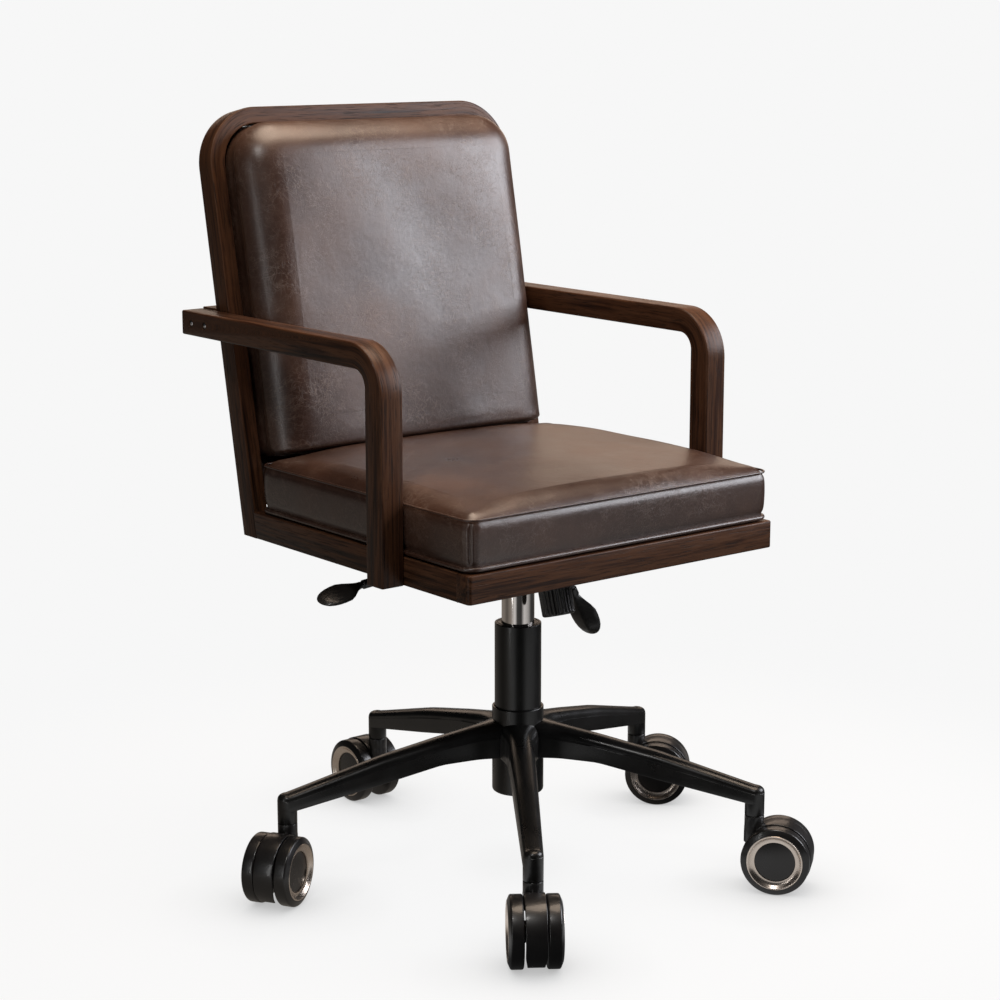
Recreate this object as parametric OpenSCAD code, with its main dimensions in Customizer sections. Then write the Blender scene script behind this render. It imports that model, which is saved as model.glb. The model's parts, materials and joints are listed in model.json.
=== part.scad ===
// Swivel office chair: padded seat and back in a bent wood frame, on a five-arm castored base.
// Millimetres. Origin on the column axis at floor level, +Z up, the chair faces -Y.

/* [Seat frame] */
// Width over the side rails
seat_w = 450; // [380:5:560]
// Depth from the front rail's face to the rear corner of the side rails
seat_d = 443; // [400:5:540]
// Distance of the front rail's face ahead of the column axis
seat_front = 196; // [170:2:250]
// Height of the rails' lower edge above the floor, at the stored lift
rail_z = 396.5; // [380:0.5:430]
// Height of the rails
rail_h = 32; // [28:1:50]
// Thickness of the rails
rail_t = 22; // [18:1:30]
// Radius of the two front corners
rail_corner = 5; // [3:1:20]
// Thickness of the seat board
board_t = 12; // [9:1:18]

/* [Back frame] */
// Lean of the back from upright, in degrees
back_lean = 10.7; // [6:0.1:14]
// Length of the back frame along its lean
back_len = 508.5; // [420:0.5:620]
// Depth of the back frame, front to rear
back_depth = 28.5; // [24:0.5:40]
// Width of the back frame's face
back_face = 20; // [16:1:30]
// Outer radius of the back frame's top corners
back_corner = 70; // [40:1:110]
// Thickness of the rear panel
panel_t = 4; // [3:0.5:8]

/* [Arms] */
// Width of an arm, across the chair
arm_w = 30; // [24:1:45]
// Height of the arm's wood
arm_h = 29; // [24:1:40]
// Height of the arm's top above the rails' lower edge
arm_rise = 266.3; // [230:0.1:320]
// Depth of the front leg, front to rear
leg_d = 30; // [24:1:45]
// Distance of the leg's front face ahead of the column axis
leg_front = 80.5; // [60:0.5:120]
// How far the arm runs on behind the rear corner of the rails
arm_over = 80; // [68:1:98]
// Outer radius of the bend between arm and leg
bend_out = 58; // [40:1:70]
// Inner radius of that bend
bend_in = 20; // [10:1:24]

/* [Cushions] */
// Height of the seat cushion's side above its base
seat_pad_h = 57; // [45:1:90]
// Extra height of the seat cushion's crown
seat_crown = 18; // [8:1:30]
// Plan radius of the seat cushion's corners
pad_corner = 16; // [12:1:60]
// How far the back cushion stands proud of its frame
back_pad = 55; // [30:1:80]

/* [Base] */
// Radius from the column axis to each castor stem
stem_r = 287.9; // [250:0.1:330]
// Height of the arm's tip above the lower face of its castor post
tip_rise = 32.4; // [29.5:0.1:50]
// Outer radius of a castor post
post_r = 11.5; // [11:0.1:15]
// Half width of a base arm at the hub
spoke_half_w = 17; // [13:0.5:24]
// Wall of the hub around the stand tube
hub_wall = 3; // [2.5:0.5:6]
// Height of the hub
hub_h = 106; // [96:1:136]

/* [Column] */
// Outer radius of the stand tube
stand_r = 27.9; // [26:0.1:32]
// Height of the stand tube's top above the floor
stand_top = 302.6; // [290:0.1:303]
// Outer radius of the gas cylinder
gas_r = 19.6; // [17:0.1:22]
// Radius of the piston rod
rod_r = 5; // [4:0.5:7]

/* [Tilt mechanism] */
// Half width of the housing
house_half_w = 55; // [50:1:70]
// Depth of the housing's floor below the seat plate
house_drop = 62.5; // [58.5:0.5:63.5]
// Radius of the tilt axle
axle_r = 6; // [4:0.5:7]
// Distance of the tilt axle ahead of the column axis
axle_front = 30; // [29:0.5:33]
// Forward lean of the tension knob, in degrees
knob_lean = 16; // [14:0.5:18]
// Outer radius of the tension knob
knob_r = 19.5; // [17:0.5:21]
// Length of the tension knob
knob_h = 38; // [34:1:40]
// Radius of the lever rods
lever_r = 4; // [3:0.5:4.5]

/* [Castors] */
// Radius of a castor wheel
wheel_r = 40.5; // [32:0.5:42]
// Distance of the wheel axle behind the swivel axis
trail = 28.4; // [24:0.1:34]
// Half width of the castor over its treads
tread_half = 27; // [24:0.5:34]
// Width of the tyre outside the bright trim ring
tyre_w = 7.5; // [6.5:0.5:12]
// Radius of the wheel axle
wheel_axle_r = 5; // [3:0.5:6]
// Radius of the castor stem
stem_pin_r = 5.4; // [4:0.1:6.5]

/* [Hidden] */
CASTORS = [1, 2, 3, 4, 5];

$fn = 64;
eps = 0.01;
run_clear = 0.05;    // radial clearance of every running fit
gap = 0.4;           // air between faces that move past each other
soft_gap = 3;        // air between a cushion and the wood beside it

// seat frame
rail_top = rail_z + rail_h;
half_w = seat_w / 2;
rear_y = seat_d - seat_front;
board_z = rail_top - board_t;
inner_half = half_w - rail_t;
block = 30;

// back frame, in its own leaning axes: X across, Y up the lean, Z towards the front
stile_inner = half_w - back_face;
pad_start = 104;     // where the back cushion starts, up the lean
panel_start = 36;    // where the rear panel starts, up the lean

// arms
arm_top = rail_z + arm_rise;
arm_low = arm_top - arm_h;
arm_rear = rear_y + arm_over;

// screws
screw_r = 2.2;
screw_head_r = 4;
screw_head_h = 3;
arm_screw_depth = 3;
arm_screw_len = 45;
stile_screw_in = 18;             // how far ahead of the stile's rear face its screw sits
rear_screw_in = 20.5;            // how far ahead of the arm's rear end the other screw sits
stile_screw_y = rear_y + (arm_low + arm_h / 2 - rail_z) * tan(back_lean) - stile_screw_in;
rear_screw_y = arm_rear - rear_screw_in;

// base
spoke_turn = -125.57;            // direction of the first arm
post_seam = 2 * wheel_r + 7.6;   // lower face of each castor post
tip_z = post_seam + tip_rise;
hub_r = stand_r + hub_wall;
hub_low = post_seam + 5.4;
hub_top = hub_low + hub_h;
stem_pin_top = tip_z - 5;

// column
stand_wall = 3.9;
stand_low = hub_low + 3;
stand_floor = 4;
bush_len = 70;
bearing_z = stand_low + stand_floor;
washer_t = 2;
ball_r = 2;
bearing_top = bearing_z + 2 * washer_t + 2 * ball_r;
race_r = 11.5;
collar_h = 3;
gas_wall = 3.6;
gas_low = 165;
gas_top = board_z - 41.5;          // just under the seat plate's mechanism
gas_cap = 12;
piston_z = 285;
piston_h = 10;
pin_r = 4;
pin_proud = 3;
pin_len = 13;

// tilt mechanism
wall = 3;
plate_t = 4;
plate_z = board_z - plate_t;
house_front = 105;
house_rear = 70;
house_z = plate_z - house_drop;
house_top = plate_z - 20.5;
socket_r = gas_r + 5.4;
axle_z = plate_z - 30.5;
step_y = -27;                    // where the housing's floor steps up ahead of the column
step_z = house_z + 14;
plate_half = 90;
plate_front = 110;
plate_rear = 85;
flange_t = 4;
flange_x = house_half_w + 1.5;
flange_r = 14;
knob_foot = [0, -76, plate_z - 86.5];   // centre of the knob's lower face
knob_floor = 8;
bolt_r = 4;
spring_r = 9.5;
spring_wire = 1.6;
spring_turns = 5;
lever_y = 50;                    // the height lever's plane, behind the column
lever_x = -44;                   // its pivot
lever_z = plate_z - 32.5;
lever_drop = 5;                  // droop of its rod, in degrees
pivot_r = 2.5;
lock_y = -5;
lock_z = plate_z - 50.5;
lock_drop = 61;                  // droop of the lock lever, in degrees
lift_twist = 18;                 // turn of the height lever's paddle about its length
lock_twist = 27;                 // turn of the lock lever's paddle about its length

// castors: resting direction of each trail, about its own stem
trail_turn = [-125.5, -52.2, -46.9, 90.3, -148.8];
wheel_in = 12.8;                 // inner face of each wheel
face_out = tread_half + 3;       // outer edge of the trim ring
cap_floor = tread_half - 5;      // floor of the recess that holds the cap
ring_r = wheel_r - tyre_w;
ring_in = ring_r - 9;
hood_r = wheel_r + 1;
hood_half = 11.9;
hood_shell = 4;
hood_web = 8;
neck_r = post_r;
neck_top = post_seam - gap;

wood = [0.30, 0.19, 0.13];
leather = [0.28, 0.20, 0.17];
black = [0.10, 0.10, 0.10];
steel = [0.55, 0.55, 0.57];
chrome = [0.80, 0.77, 0.75];
champagne = [0.72, 0.64, 0.57];
plywood = [0.70, 0.58, 0.42];

// ---------- helpers ----------

// a tube along Z
module tube(r_out, r_in, z0, z1) {
    translate([0, 0, z0])
        difference() {
            cylinder(r = r_out, h = z1 - z0);
            translate([0, 0, -1]) cylinder(r = r_in, h = z1 - z0 + 2);
        }
}

// a cylinder along X from x0 to x1, at height z and depth y
module bar_x(r, x0, x1, y, z) {
    translate([x0, y, z]) rotate([0, 90, 0]) cylinder(r = r, h = x1 - x0);
}

// a block given by its two corners
module block_between(a, b) {
    translate(a) cube(b - a);
}

// a side profile in Y and Z, extruded from x0 to x1
module side_extrude(x0, x1) {
    translate([x0, 0, 0]) rotate([90, 0, 90]) linear_extrude(x1 - x0) children();
}

// the leaning axes of the back frame
module leaning() {
    translate([0, rear_y, rail_z]) rotate([90 - back_lean, 0, 0]) children();
}

// an arch in the leaning plane, half width w, from y0 up to y1, top corner radius r
module arch(w, y0, y1, r) {
    translate([-w, y0]) square([2 * w, y1 - r - y0]);
    translate([-(w - r), y0]) square([2 * (w - r), y1 - y0]);
    for (s = [-1, 1]) translate([s * (w - r), y1 - r]) circle(r = r, $fn = 96);
}

// a rounded rectangle in plan
module rounded(x0, y0, x1, y1, r) {
    hull()
        for (x = [x0 + r, x1 - r], y = [y0 + r, y1 - r])
            translate([x, y]) circle(r = r, $fn = 32);
}

// the axis of the tension knob and its bolt
module knob_axis() {
    translate(knob_foot) rotate([-knob_lean, 0, 0]) children();
}

// ---------- base ----------

// one arm of the base, along X: a tapering plan cut by a falling side profile
module spoke() {
    intersection() {
        translate([0, 0, post_seam - 8])
            linear_extrude(150) {
                polygon([[0, -spoke_half_w], [stem_r, -post_r], [stem_r, post_r], [0, spoke_half_w]]);
                translate([stem_r, 0]) circle(r = post_r);
            }
        translate([0, spoke_half_w + 1, 0])
            rotate([90, 0, 0])
                linear_extrude(2 * spoke_half_w + 2)
                    polygon([[0, tip_z + 66], [stem_r * 0.35, tip_z + 50],
                             [stem_r * 0.6, tip_z + 34.5], [stem_r + post_r, tip_z],
                             [stem_r + post_r, tip_z - 20], [stem_r - post_r, tip_z - 16],
                             [stem_r * 0.6, tip_z + 4], [stem_r * 0.2, tip_z + 19], [0, tip_z + 22]]);
    }
    translate([stem_r, 0, post_seam]) cylinder(r = post_r, h = tip_z - post_seam - 10);
}

module star_base() {
    color(black)
        difference() {
            union() {
                translate([0, 0, hub_low]) cylinder(r = hub_r, h = hub_top - hub_low);
                for (k = CASTORS) rotate([0, 0, spoke_turn + 72 * (k - 1)]) spoke();
            }
            translate([0, 0, hub_low - 1]) cylinder(r = stand_r, h = hub_top);
            for (k = CASTORS)
                rotate([0, 0, spoke_turn + 72 * (k - 1)])
                    translate([stem_r, 0, post_seam - 1])
                        cylinder(r = stem_pin_r + run_clear, h = stem_pin_top - post_seam + 2);
        }
}

module stand_tube() {
    color(black)
        difference() {
            translate([0, 0, stand_low]) cylinder(r = stand_r, h = stand_top - stand_low);
            translate([0, 0, bearing_z]) cylinder(r = stand_r - stand_wall, h = stand_top);
            translate([0, 0, stand_low - 1]) cylinder(r = rod_r + 1, h = stand_floor + 2);
        }
}

module guide_bush() {
    color(black) tube(stand_r - stand_wall, gas_r + run_clear, stand_top - bush_len, stand_top);
}

// two washers with a ring of balls between them
module thrust_bearing() {
    color(steel) {
        for (z = [bearing_z, bearing_z + washer_t + 2 * ball_r])
            tube(race_r + 4.5, rod_r + 0.6, z, z + washer_t);
        for (a = [0:45:315])
            rotate([0, 0, a]) translate([race_r, 0, bearing_z + washer_t + ball_r]) sphere(r = ball_r);
    }
}

module piston_rod() {
    color(steel) {
        translate([0, 0, hub_low]) cylinder(r = rod_r, h = piston_z + piston_h - hub_low);
        translate([0, 0, hub_low]) cylinder(r = rod_r + 3, h = stand_low - hub_low - gap);
        translate([0, 0, bearing_top + gap]) cylinder(r = rod_r + 3, h = collar_h);
        translate([0, 0, piston_z]) cylinder(r = gas_r - gas_wall - run_clear, h = piston_h);
    }
}

module gas_cylinder() {
    color(chrome)
        difference() {
            translate([0, 0, gas_low]) cylinder(r = gas_r, h = gas_top - gas_low);
            translate([0, 0, gas_low + gas_cap])
                cylinder(r = gas_r - gas_wall, h = gas_top - gas_low - 2 * gas_cap);
            translate([0, 0, gas_low - 1]) cylinder(r = rod_r + run_clear, h = gas_cap + 2);
            translate([0, 0, gas_top - gas_cap - 1]) cylinder(r = pin_r + run_clear, h = gas_cap + 2);
        }
}

module release_pin() {
    color(steel) translate([0, 0, gas_top + pin_proud - pin_len]) cylinder(r = pin_r, h = pin_len);
}

// ---------- tilt mechanism ----------

// the housing's side profile, drawn in by t on every side
module house_profile(t) {
    slope = tan(knob_lean);
    front_z = step_z + (house_front + step_y) * slope;
    polygon([[-house_front + t, front_z + t], [step_y + t, step_z + t], [step_y + t, house_z + t],
             [house_rear - t, house_z + t], [house_rear - t, house_top + (t > 0 ? 10 : 0)],
             [-house_front + t, house_top + (t > 0 ? 10 : 0)]]);
}

module mechanism_housing() {
    ear_y = 9;
    color(black)
        difference() {
            union() {
                difference() {
                    side_extrude(-house_half_w, house_half_w) house_profile(0);
                    side_extrude(-house_half_w + wall, house_half_w - wall) house_profile(wall);
                }
                translate([0, 0, house_z]) cylinder(r = socket_r, h = gas_top - 1 - house_z);
                for (s = [-1, 1])
                    block_between([lever_x - 6, lever_y + s * (ear_y + 2) - 2, house_z + eps],
                                  [lever_x + 6, lever_y + s * (ear_y + 2) + 2, lever_z + 7]);
            }
            translate([0, 0, house_z - 1]) cylinder(r = gas_r, h = 60);
            bar_x(axle_r, -house_half_w - 1, house_half_w + 1, -axle_front, axle_z);
            translate([lever_x, lever_y - 20, lever_z]) rotate([-90, 0, 0]) cylinder(r = pivot_r, h = 40);
            bar_x(lever_r + run_clear, house_half_w - wall - 1, house_half_w + 1, lock_y, lock_z);
            translate([-house_half_w - 1, lever_y - lever_r - 1.5, lever_z - 7.5])
                cube([wall + 2, 2 * lever_r + 3, 15]);
            knob_axis()
                translate([0, 0, knob_h]) {
                    translate([-6, -9, -2]) cube([12, 15, 25]);
                }
        }
}

// the tilt axle and the height lever's pivot
module mechanism_pins() {
    color(steel) {
        bar_x(axle_r, -flange_x - flange_t, flange_x + flange_t, -axle_front, axle_z);
        translate([lever_x, lever_y - 13, lever_z]) rotate([-90, 0, 0]) cylinder(r = pivot_r, h = 26);
    }
}

// rubber stops: two tall ones for the upright position, two low ones for full recline
module tilt_stops() {
    color(black)
        for (s = [-1, 1]) {
            translate([s * 38 - 8, -house_front, house_top]) cube([16, 12, plate_z - house_top - gap]);
            translate([s * 38 - 8, house_rear - 12, house_top]) cube([16, 12, 2.2]);
        }
}

// a flat rounded finger paddle, from the origin along -X
module paddle() {
    hull() {
        translate([6, 0, 0]) sphere(r = lever_r + 0.5, $fn = 24);
        for (s = [-1, 1]) {
            translate([-22, s * 12, 0]) sphere(r = 6, $fn = 24);
            translate([-42, s * 10, 0]) sphere(r = 6, $fn = 24);
        }
        translate([-50, 0, 0]) sphere(r = 6, $fn = 24);
    }
}

module height_lever() {
    color(black)
        difference() {
            union() {
                translate([lever_x, lever_y - 6, lever_z]) rotate([-90, 0, 0]) cylinder(r = 7, h = 12);
                translate([lever_x, lever_y, lever_z]) rotate([0, -lever_drop, 0]) {
                    rotate([0, -90, 0]) cylinder(r = lever_r, h = 152);
                    translate([-152, 0, 0]) rotate([0, -7, 0]) rotate([lift_twist, 0, 0]) paddle();
                }
                translate([lever_x, lever_y - 6, gas_top + pin_proud + gap]) cube([-lever_x + 8, 12, 4]);
                translate([-6, -8, gas_top + pin_proud + gap]) cube([14, lever_y + 8, 4]);
            }
            translate([lever_x, lever_y - 10, lever_z])
                rotate([-90, 0, 0]) cylinder(r = pivot_r + run_clear, h = 20);
        }
}

module lock_lever() {
    out_x = house_half_w + 8;
    color(black) {
        bar_x(lever_r, house_half_w - 11, out_x, lock_y, lock_z);
        bar_x(lever_r + 2, house_half_w - 11, house_half_w - wall - 0.4, lock_y, lock_z);
        translate([out_x, lock_y, lock_z]) {
            sphere(r = lever_r + 0.6);
            rotate([0, lock_drop, 0]) rotate([0, 90, 0]) cylinder(r = lever_r, h = 46);
            rotate([0, lock_drop, 0]) translate([50, 0, 0])
                rotate([-lock_twist, 0, 0]) rotate([0, 0, 180]) paddle();
        }
    }
}

// a flat plate under the seat board with two ears that hang on the tilt axle
module seat_plate() {
    color(black)
        difference() {
            union() {
                block_between([-plate_half, -plate_front, plate_z],
                              [plate_half, plate_rear, plate_z + plate_t]);
                for (x = [-flange_x - flange_t, flange_x])
                    side_extrude(x, x + flange_t) {
                        translate([-axle_front, axle_z]) circle(r = flange_r);
                        polygon([[-axle_front - 24, plate_z + 1], [-axle_front - flange_r, axle_z],
                                 [-axle_front + flange_r, axle_z], [-axle_front + 24, plate_z + 1]]);
                    }
            }
            bar_x(axle_r + run_clear, -plate_half, plate_half, -axle_front, axle_z);
            plate_screw_places() translate([0, 0, plate_z - 1]) cylinder(r = screw_r, h = plate_t + 2);
        }
}

// where the seat plate is screwed to the board
module plate_screw_places() {
    for (x = [-75, 75], y = [-95, 70]) translate([x, y, 0]) children();
}

// the bolt that carries the knob: welded under the plate, through the housing's floor
module tension_bolt() {
    color(steel)
        intersection() {
            knob_axis() translate([0, 0, 2]) cylinder(r = bolt_r, h = 120);
            translate([-20, -120, 300]) cube([40, 120, plate_z - 300]);
        }
}

// a coil spring inside the knob, between its floor and the housing
module tension_spring() {
    sides = 8;
    per_turn = 14;
    start = knob_floor + spring_wire + 0.3;
    length = knob_h + 9 - start - spring_wire;
    rings = spring_turns * per_turn;
    pts = [for (i = [0:rings], j = [0:sides - 1])
        let (a = 360 * i / per_turn, b = 360 * j / sides, r = spring_r + spring_wire * cos(b))
        [r * cos(a), r * sin(a), start + length * i / rings + spring_wire * sin(b)]];
    walls = [for (i = [0:rings - 1], j = [0:sides - 1])
        let (p = i * sides + j, q = i * sides + (j + 1) % sides)
        [p, q, q + sides, p + sides]];
    ends = [[for (j = [sides - 1:-1:0]) j], [for (j = [0:sides - 1]) rings * sides + j]];
    faces = [for (f = concat(walls, ends)) [for (k = [len(f) - 1:-1:0]) f[k]]];
    color(steel) knob_axis() polyhedron(pts, faces);
}

module tension_knob() {
    color(black)
        knob_axis()
            difference() {
                cylinder(r = knob_r, h = knob_h);
                translate([0, 0, knob_floor]) cylinder(r = knob_r - 5, h = knob_h);
                translate([0, 0, -1]) cylinder(r = bolt_r + run_clear, h = knob_h);
            }
}

// ---------- seat ----------

module rail_front() {
    color(wood)
        translate([0, 0, rail_z])
            linear_extrude(rail_h) {
                translate([-half_w + rail_corner, -seat_front]) square([seat_w - 2 * rail_corner, rail_t]);
                translate([-half_w, -seat_front + rail_corner]) square([seat_w, rail_t - rail_corner]);
                for (s = [-1, 1])
                    translate([s * (half_w - rail_corner), -seat_front + rail_corner])
                        circle(r = rail_corner);
            }
}

// a side rail runs from the front rail back to the leaning stile
module side_rail(s) {
    x0 = s < 0 ? -half_w : inner_half;
    color(wood)
        difference() {
            block_between([x0, -seat_front + rail_t, rail_z], [x0 + rail_t, rear_y, rail_top]);
            leaning() translate([-seat_w, -50, -60]) cube([2 * seat_w, 200, 60 + back_depth]);
            leg_screw_places(s) bar_x(screw_r, -60, 60, 0, 0);
        }
}

module rail_left() { side_rail(-1); }

module rail_right() { side_rail(1); }

module rail_rear() {
    color(wood)
        block_between([-stile_inner, rear_y - back_depth + 4, rail_z],
                      [stile_inner, rear_y - 2, rail_top - 2]);
}

module seat_board() {
    color(plywood)
        difference() {
            block_between([-inner_half, -seat_front + rail_t, board_z],
                          [inner_half, rear_y - back_depth - 2, rail_top]);
            plate_screw_places() translate([0, 0, board_z - 1]) cylinder(r = screw_r, h = 10 + 1);
        }
}

// glue blocks in the frame's four inner corners, under the board
module corner_blocks() {
    y_front = -seat_front + rail_t;
    y_rear = rear_y - back_depth - 2;
    color(plywood)
        for (s = [-1, 1]) {
            x0 = s < 0 ? -inner_half : inner_half - block;
            translate([x0, y_front, rail_z + 2]) cube([block, block, board_z - rail_z - 2]);
            translate([x0, y_rear - block, rail_z + 2]) cube([block, block, board_z - rail_z - 2]);
        }
}

module seat_cushion() {
    base = rail_top + 1.5;
    edge = half_w - soft_gap;
    y0 = -seat_front + soft_gap;
    y1 = rear_y - back_depth - 5.5;
    inset = 60;
    color(leather)
        hull() {
            translate([0, 0, base])
                linear_extrude(seat_pad_h) rounded(-edge, y0, edge, y1, pad_corner);
            translate([0, 0, base + seat_pad_h])
                linear_extrude(seat_crown)
                    rounded(-edge + inset, y0 + inset, edge - inset, y1 - inset, pad_corner);
        }
}

// ---------- back ----------

module back_frame() {
    color(wood)
        difference() {
            leaning()
                linear_extrude(back_depth)
                    difference() {
                        arch(half_w, -12, back_len, back_corner);
                        arch(stile_inner, -13, back_len - back_face, back_corner - back_face);
                    }
            translate([-seat_w, 0, rail_z - 60]) cube([2 * seat_w, 2 * seat_d, 60]);
            arm_screw_places() bar_x(screw_r, -60, 60, 0, 0);
        }
}

module back_panel() {
    color(leather)
        leaning()
            translate([0, 0, 2])
                linear_extrude(panel_t)
                    arch(stile_inner - 0.5, panel_start, back_len - back_face - 0.5,
                         back_corner - back_face);
}

module back_cushion() {
    edge = stile_inner - 1.5;
    top = back_len - back_face - 1.5;
    corner = back_corner - back_face;
    round_front = 34;
    color(leather)
        leaning()
            hull() {
                translate([0, 0, panel_t + 2.5])
                    linear_extrude(back_depth + back_pad - round_front - panel_t)
                        arch(edge, pad_start, top, corner);
                translate([0, 0, back_depth + back_pad - 1])
                    linear_extrude(1)
                        arch(edge - round_front, pad_start + round_front, top - round_front, corner);
            }
}

// ---------- arms ----------

// an arm's side: a level top, a bend and a straight front leg
module arm_profile() {
    y0 = -leg_front;
    difference() {
        union() {
            translate([y0 + bend_out, arm_low]) square([arm_rear - y0 - bend_out, arm_h]);
            translate([y0, rail_z]) square([leg_d, arm_top - bend_out - rail_z]);
            intersection() {
                translate([y0 + bend_out, arm_top - bend_out]) circle(r = bend_out, $fn = 96);
                translate([y0, arm_top - bend_out]) square([bend_out, bend_out]);
            }
            translate([y0 + bend_out - eps, arm_top - bend_out]) square([eps * 2, bend_out - eps]);
            translate([y0 + leg_d - eps, arm_low - bend_in])
                square([bend_in + eps, bend_in + eps]);
        }
        translate([y0 + leg_d + bend_in, arm_low - bend_in]) circle(r = bend_in, $fn = 96);
        translate([y0 + leg_d + bend_in, rail_z]) square([arm_rear, arm_low - rail_z]);
        translate([y0 + leg_d, rail_z]) square([bend_in + eps, arm_low - bend_in - rail_z]);
    }
}

// the two screws at the rear of each arm: one into the stile, one into the rear rail
module arm_screw_places(sides = [-1, 1]) {
    for (s = sides, y = [stile_screw_y, rear_screw_y])
        translate([s * half_w, y, arm_low + arm_h / 2]) children();
}

// the two screws that hold each leg to its side rail
module leg_screw_places(s) {
    for (y = [-leg_front + 8, -leg_front + leg_d - 8])
        translate([s * half_w, y, rail_z + rail_h / 2]) children();
}

module arm(s) {
    x0 = s < 0 ? -half_w - arm_w : half_w;
    face = s < 0 ? x0 - 1 : x0 + arm_w - arm_screw_depth;
    color(wood)
        difference() {
            side_extrude(x0, x0 + arm_w) arm_profile();
            arm_screw_places([s]) bar_x(screw_r, -60, 60, 0, 0);
            for (y = [stile_screw_y, rear_screw_y])
                bar_x(screw_head_r, face, face + arm_screw_depth + 1, y, arm_low + arm_h / 2);
            leg_screw_places(s) bar_x(screw_r, -20, 20, 0, 0);
        }
}

module arm_left() { arm(-1); }

module arm_right() { arm(1); }

// joins the two arms behind the back
module arm_rear_rail() {
    over = 2;
    z0 = arm_low + over;
    z1 = arm_top + over;
    color(wood)
        difference() {
            side_extrude(-half_w, half_w)
                polygon([[rear_y + (z0 - rail_z) * tan(back_lean), z0], [arm_rear, z0],
                         [arm_rear, z1], [rear_y + (z1 - rail_z) * tan(back_lean), z1]]);
            arm_screw_places() bar_x(screw_r, -60, 60, 0, 0);
        }
}

module frame_screws() {
    head_x = arm_w - arm_screw_depth + 1;
    color(steel) {
        plate_screw_places() {
            translate([0, 0, plate_z - screw_head_h]) cylinder(r = screw_head_r, h = screw_head_h);
            translate([0, 0, plate_z - eps]) cylinder(r = screw_r, h = plate_t + 10);
        }
        for (s = [-1, 1])
            on_side(s) {
                for (y = [stile_screw_y, rear_screw_y]) {
                    bar_x(screw_r, half_w + head_x - arm_screw_len, half_w + head_x,
                          y, arm_low + arm_h / 2);
                    bar_x(screw_head_r, half_w + arm_w - arm_screw_depth, half_w + arm_w - 1,
                          y, arm_low + arm_h / 2);
                }
                for (y = [-leg_front + 8, -leg_front + leg_d - 8]) {
                    bar_x(screw_r, inner_half - eps, half_w + 19, y, rail_z + rail_h / 2);
                    bar_x(screw_head_r, inner_half - screw_head_h, inner_half, y, rail_z + rail_h / 2);
                }
            }
    }
}

// mirrors its children to the left for s = -1
module on_side(s) {
    if (s < 0) mirror([1, 0, 0]) children();
    else children();
}

// ---------- castors ----------

// places its children at castor k: X along the trail, Y along the axle
module castor(k) {
    a = spoke_turn + 72 * (k - 1);
    translate([stem_r * cos(a), stem_r * sin(a), 0]) rotate([0, 0, trail_turn[k - 1]]) children();
}

// turns a profile drawn in radius and width about the wheel axle; s = 1 left, -1 right
module about_axle(s) {
    translate([trail, 0, wheel_r]) rotate([s > 0 ? -90 : 90, 0, 0]) rotate_extrude($fn = 96) children();
}

// moulded body: a neck on the stem, a web to the axle and a shell over the wheels
module castor_hood(k) {
    boss_r = 12;
    shell_from = -47;
    shell_to = 128;
    color(black)
        castor(k)
            difference() {
                union() {
                    translate([0, hood_half, 0])
                        rotate([90, 0, 0])
                            linear_extrude(2 * hood_half)
                                difference() {
                                    translate([trail, wheel_r]) hood_sector(hood_r, shell_from, shell_to);
                                    translate([trail, wheel_r]) circle(r = hood_r - hood_shell);
                                }
                    translate([0, hood_web / 2, 0])
                        rotate([90, 0, 0])
                            linear_extrude(hood_web)
                                translate([trail, wheel_r])
                                    hood_sector(hood_r - hood_shell + 0.5, shell_from + 6, shell_to + 40);
                    translate([trail, hood_half + 0.5, wheel_r])
                        rotate([90, 0, 0]) cylinder(r = boss_r, h = 2 * hood_half + 1);
                    translate([0, 0, wheel_r + 8]) cylinder(r = neck_r, h = neck_top - wheel_r - 8);
                }
                translate([0, 0, wheel_r + 18]) cylinder(r = stem_pin_r, h = neck_top);
                translate([trail, 30, wheel_r]) rotate([90, 0, 0]) cylinder(r = wheel_axle_r, h = 60);
            }
}

// a sector of a disc between two angles
module hood_sector(r, from, to) {
    steps = 4;
    reach = 2 * r;
    intersection() {
        circle(r = r, $fn = 96);
        polygon(concat([[0, 0]], [for (i = [0:steps])
            let (a = from + (to - from) * i / steps) [reach * cos(a), reach * sin(a)]]));
    }
}

// the steel stem and axle, pressed into the hood
module castor_pins(k) {
    color(steel)
        castor(k) {
            translate([0, 0, wheel_r + 18]) cylinder(r = stem_pin_r, h = stem_pin_top - wheel_r - 18);
            translate([trail, cap_floor - 1, wheel_r])
                rotate([90, 0, 0]) cylinder(r = wheel_axle_r, h = 2 * cap_floor - 2);
        }
}

// one moulded wheel: flat tread, bevelled shoulder and a round recess for its cap
module wheel(k, s) {
    edge = 1.5;
    bore = wheel_axle_r + run_clear;
    color(black)
        castor(k)
            about_axle(s)
                polygon([[bore, wheel_in], [wheel_r - edge, wheel_in], [wheel_r, wheel_in + edge],
                         [wheel_r, tread_half - edge], [wheel_r - edge, tread_half],
                         [ring_r + 0.6, face_out], [ring_r + 0.1, face_out],
                         [ring_r + 0.1, cap_floor], [bore, cap_floor]]);
}

// the cap: a bright bevelled ring around a flat black disc
module wheel_cap(k, s) {
    disc_t = 3;
    castor(k) {
        color(champagne)
            about_axle(s)
                polygon([[ring_in, cap_floor], [ring_r, cap_floor], [ring_r, face_out],
                         [ring_r - 0.8, face_out + 0.2], [ring_in, cap_floor + disc_t + 0.8]]);
        color(black)
            about_axle(s)
                polygon([[0, cap_floor], [ring_in - 0.05, cap_floor],
                         [ring_in - 0.05, cap_floor + disc_t], [0, cap_floor + disc_t]]);
    }
}

// ---------- output ----------

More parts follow.
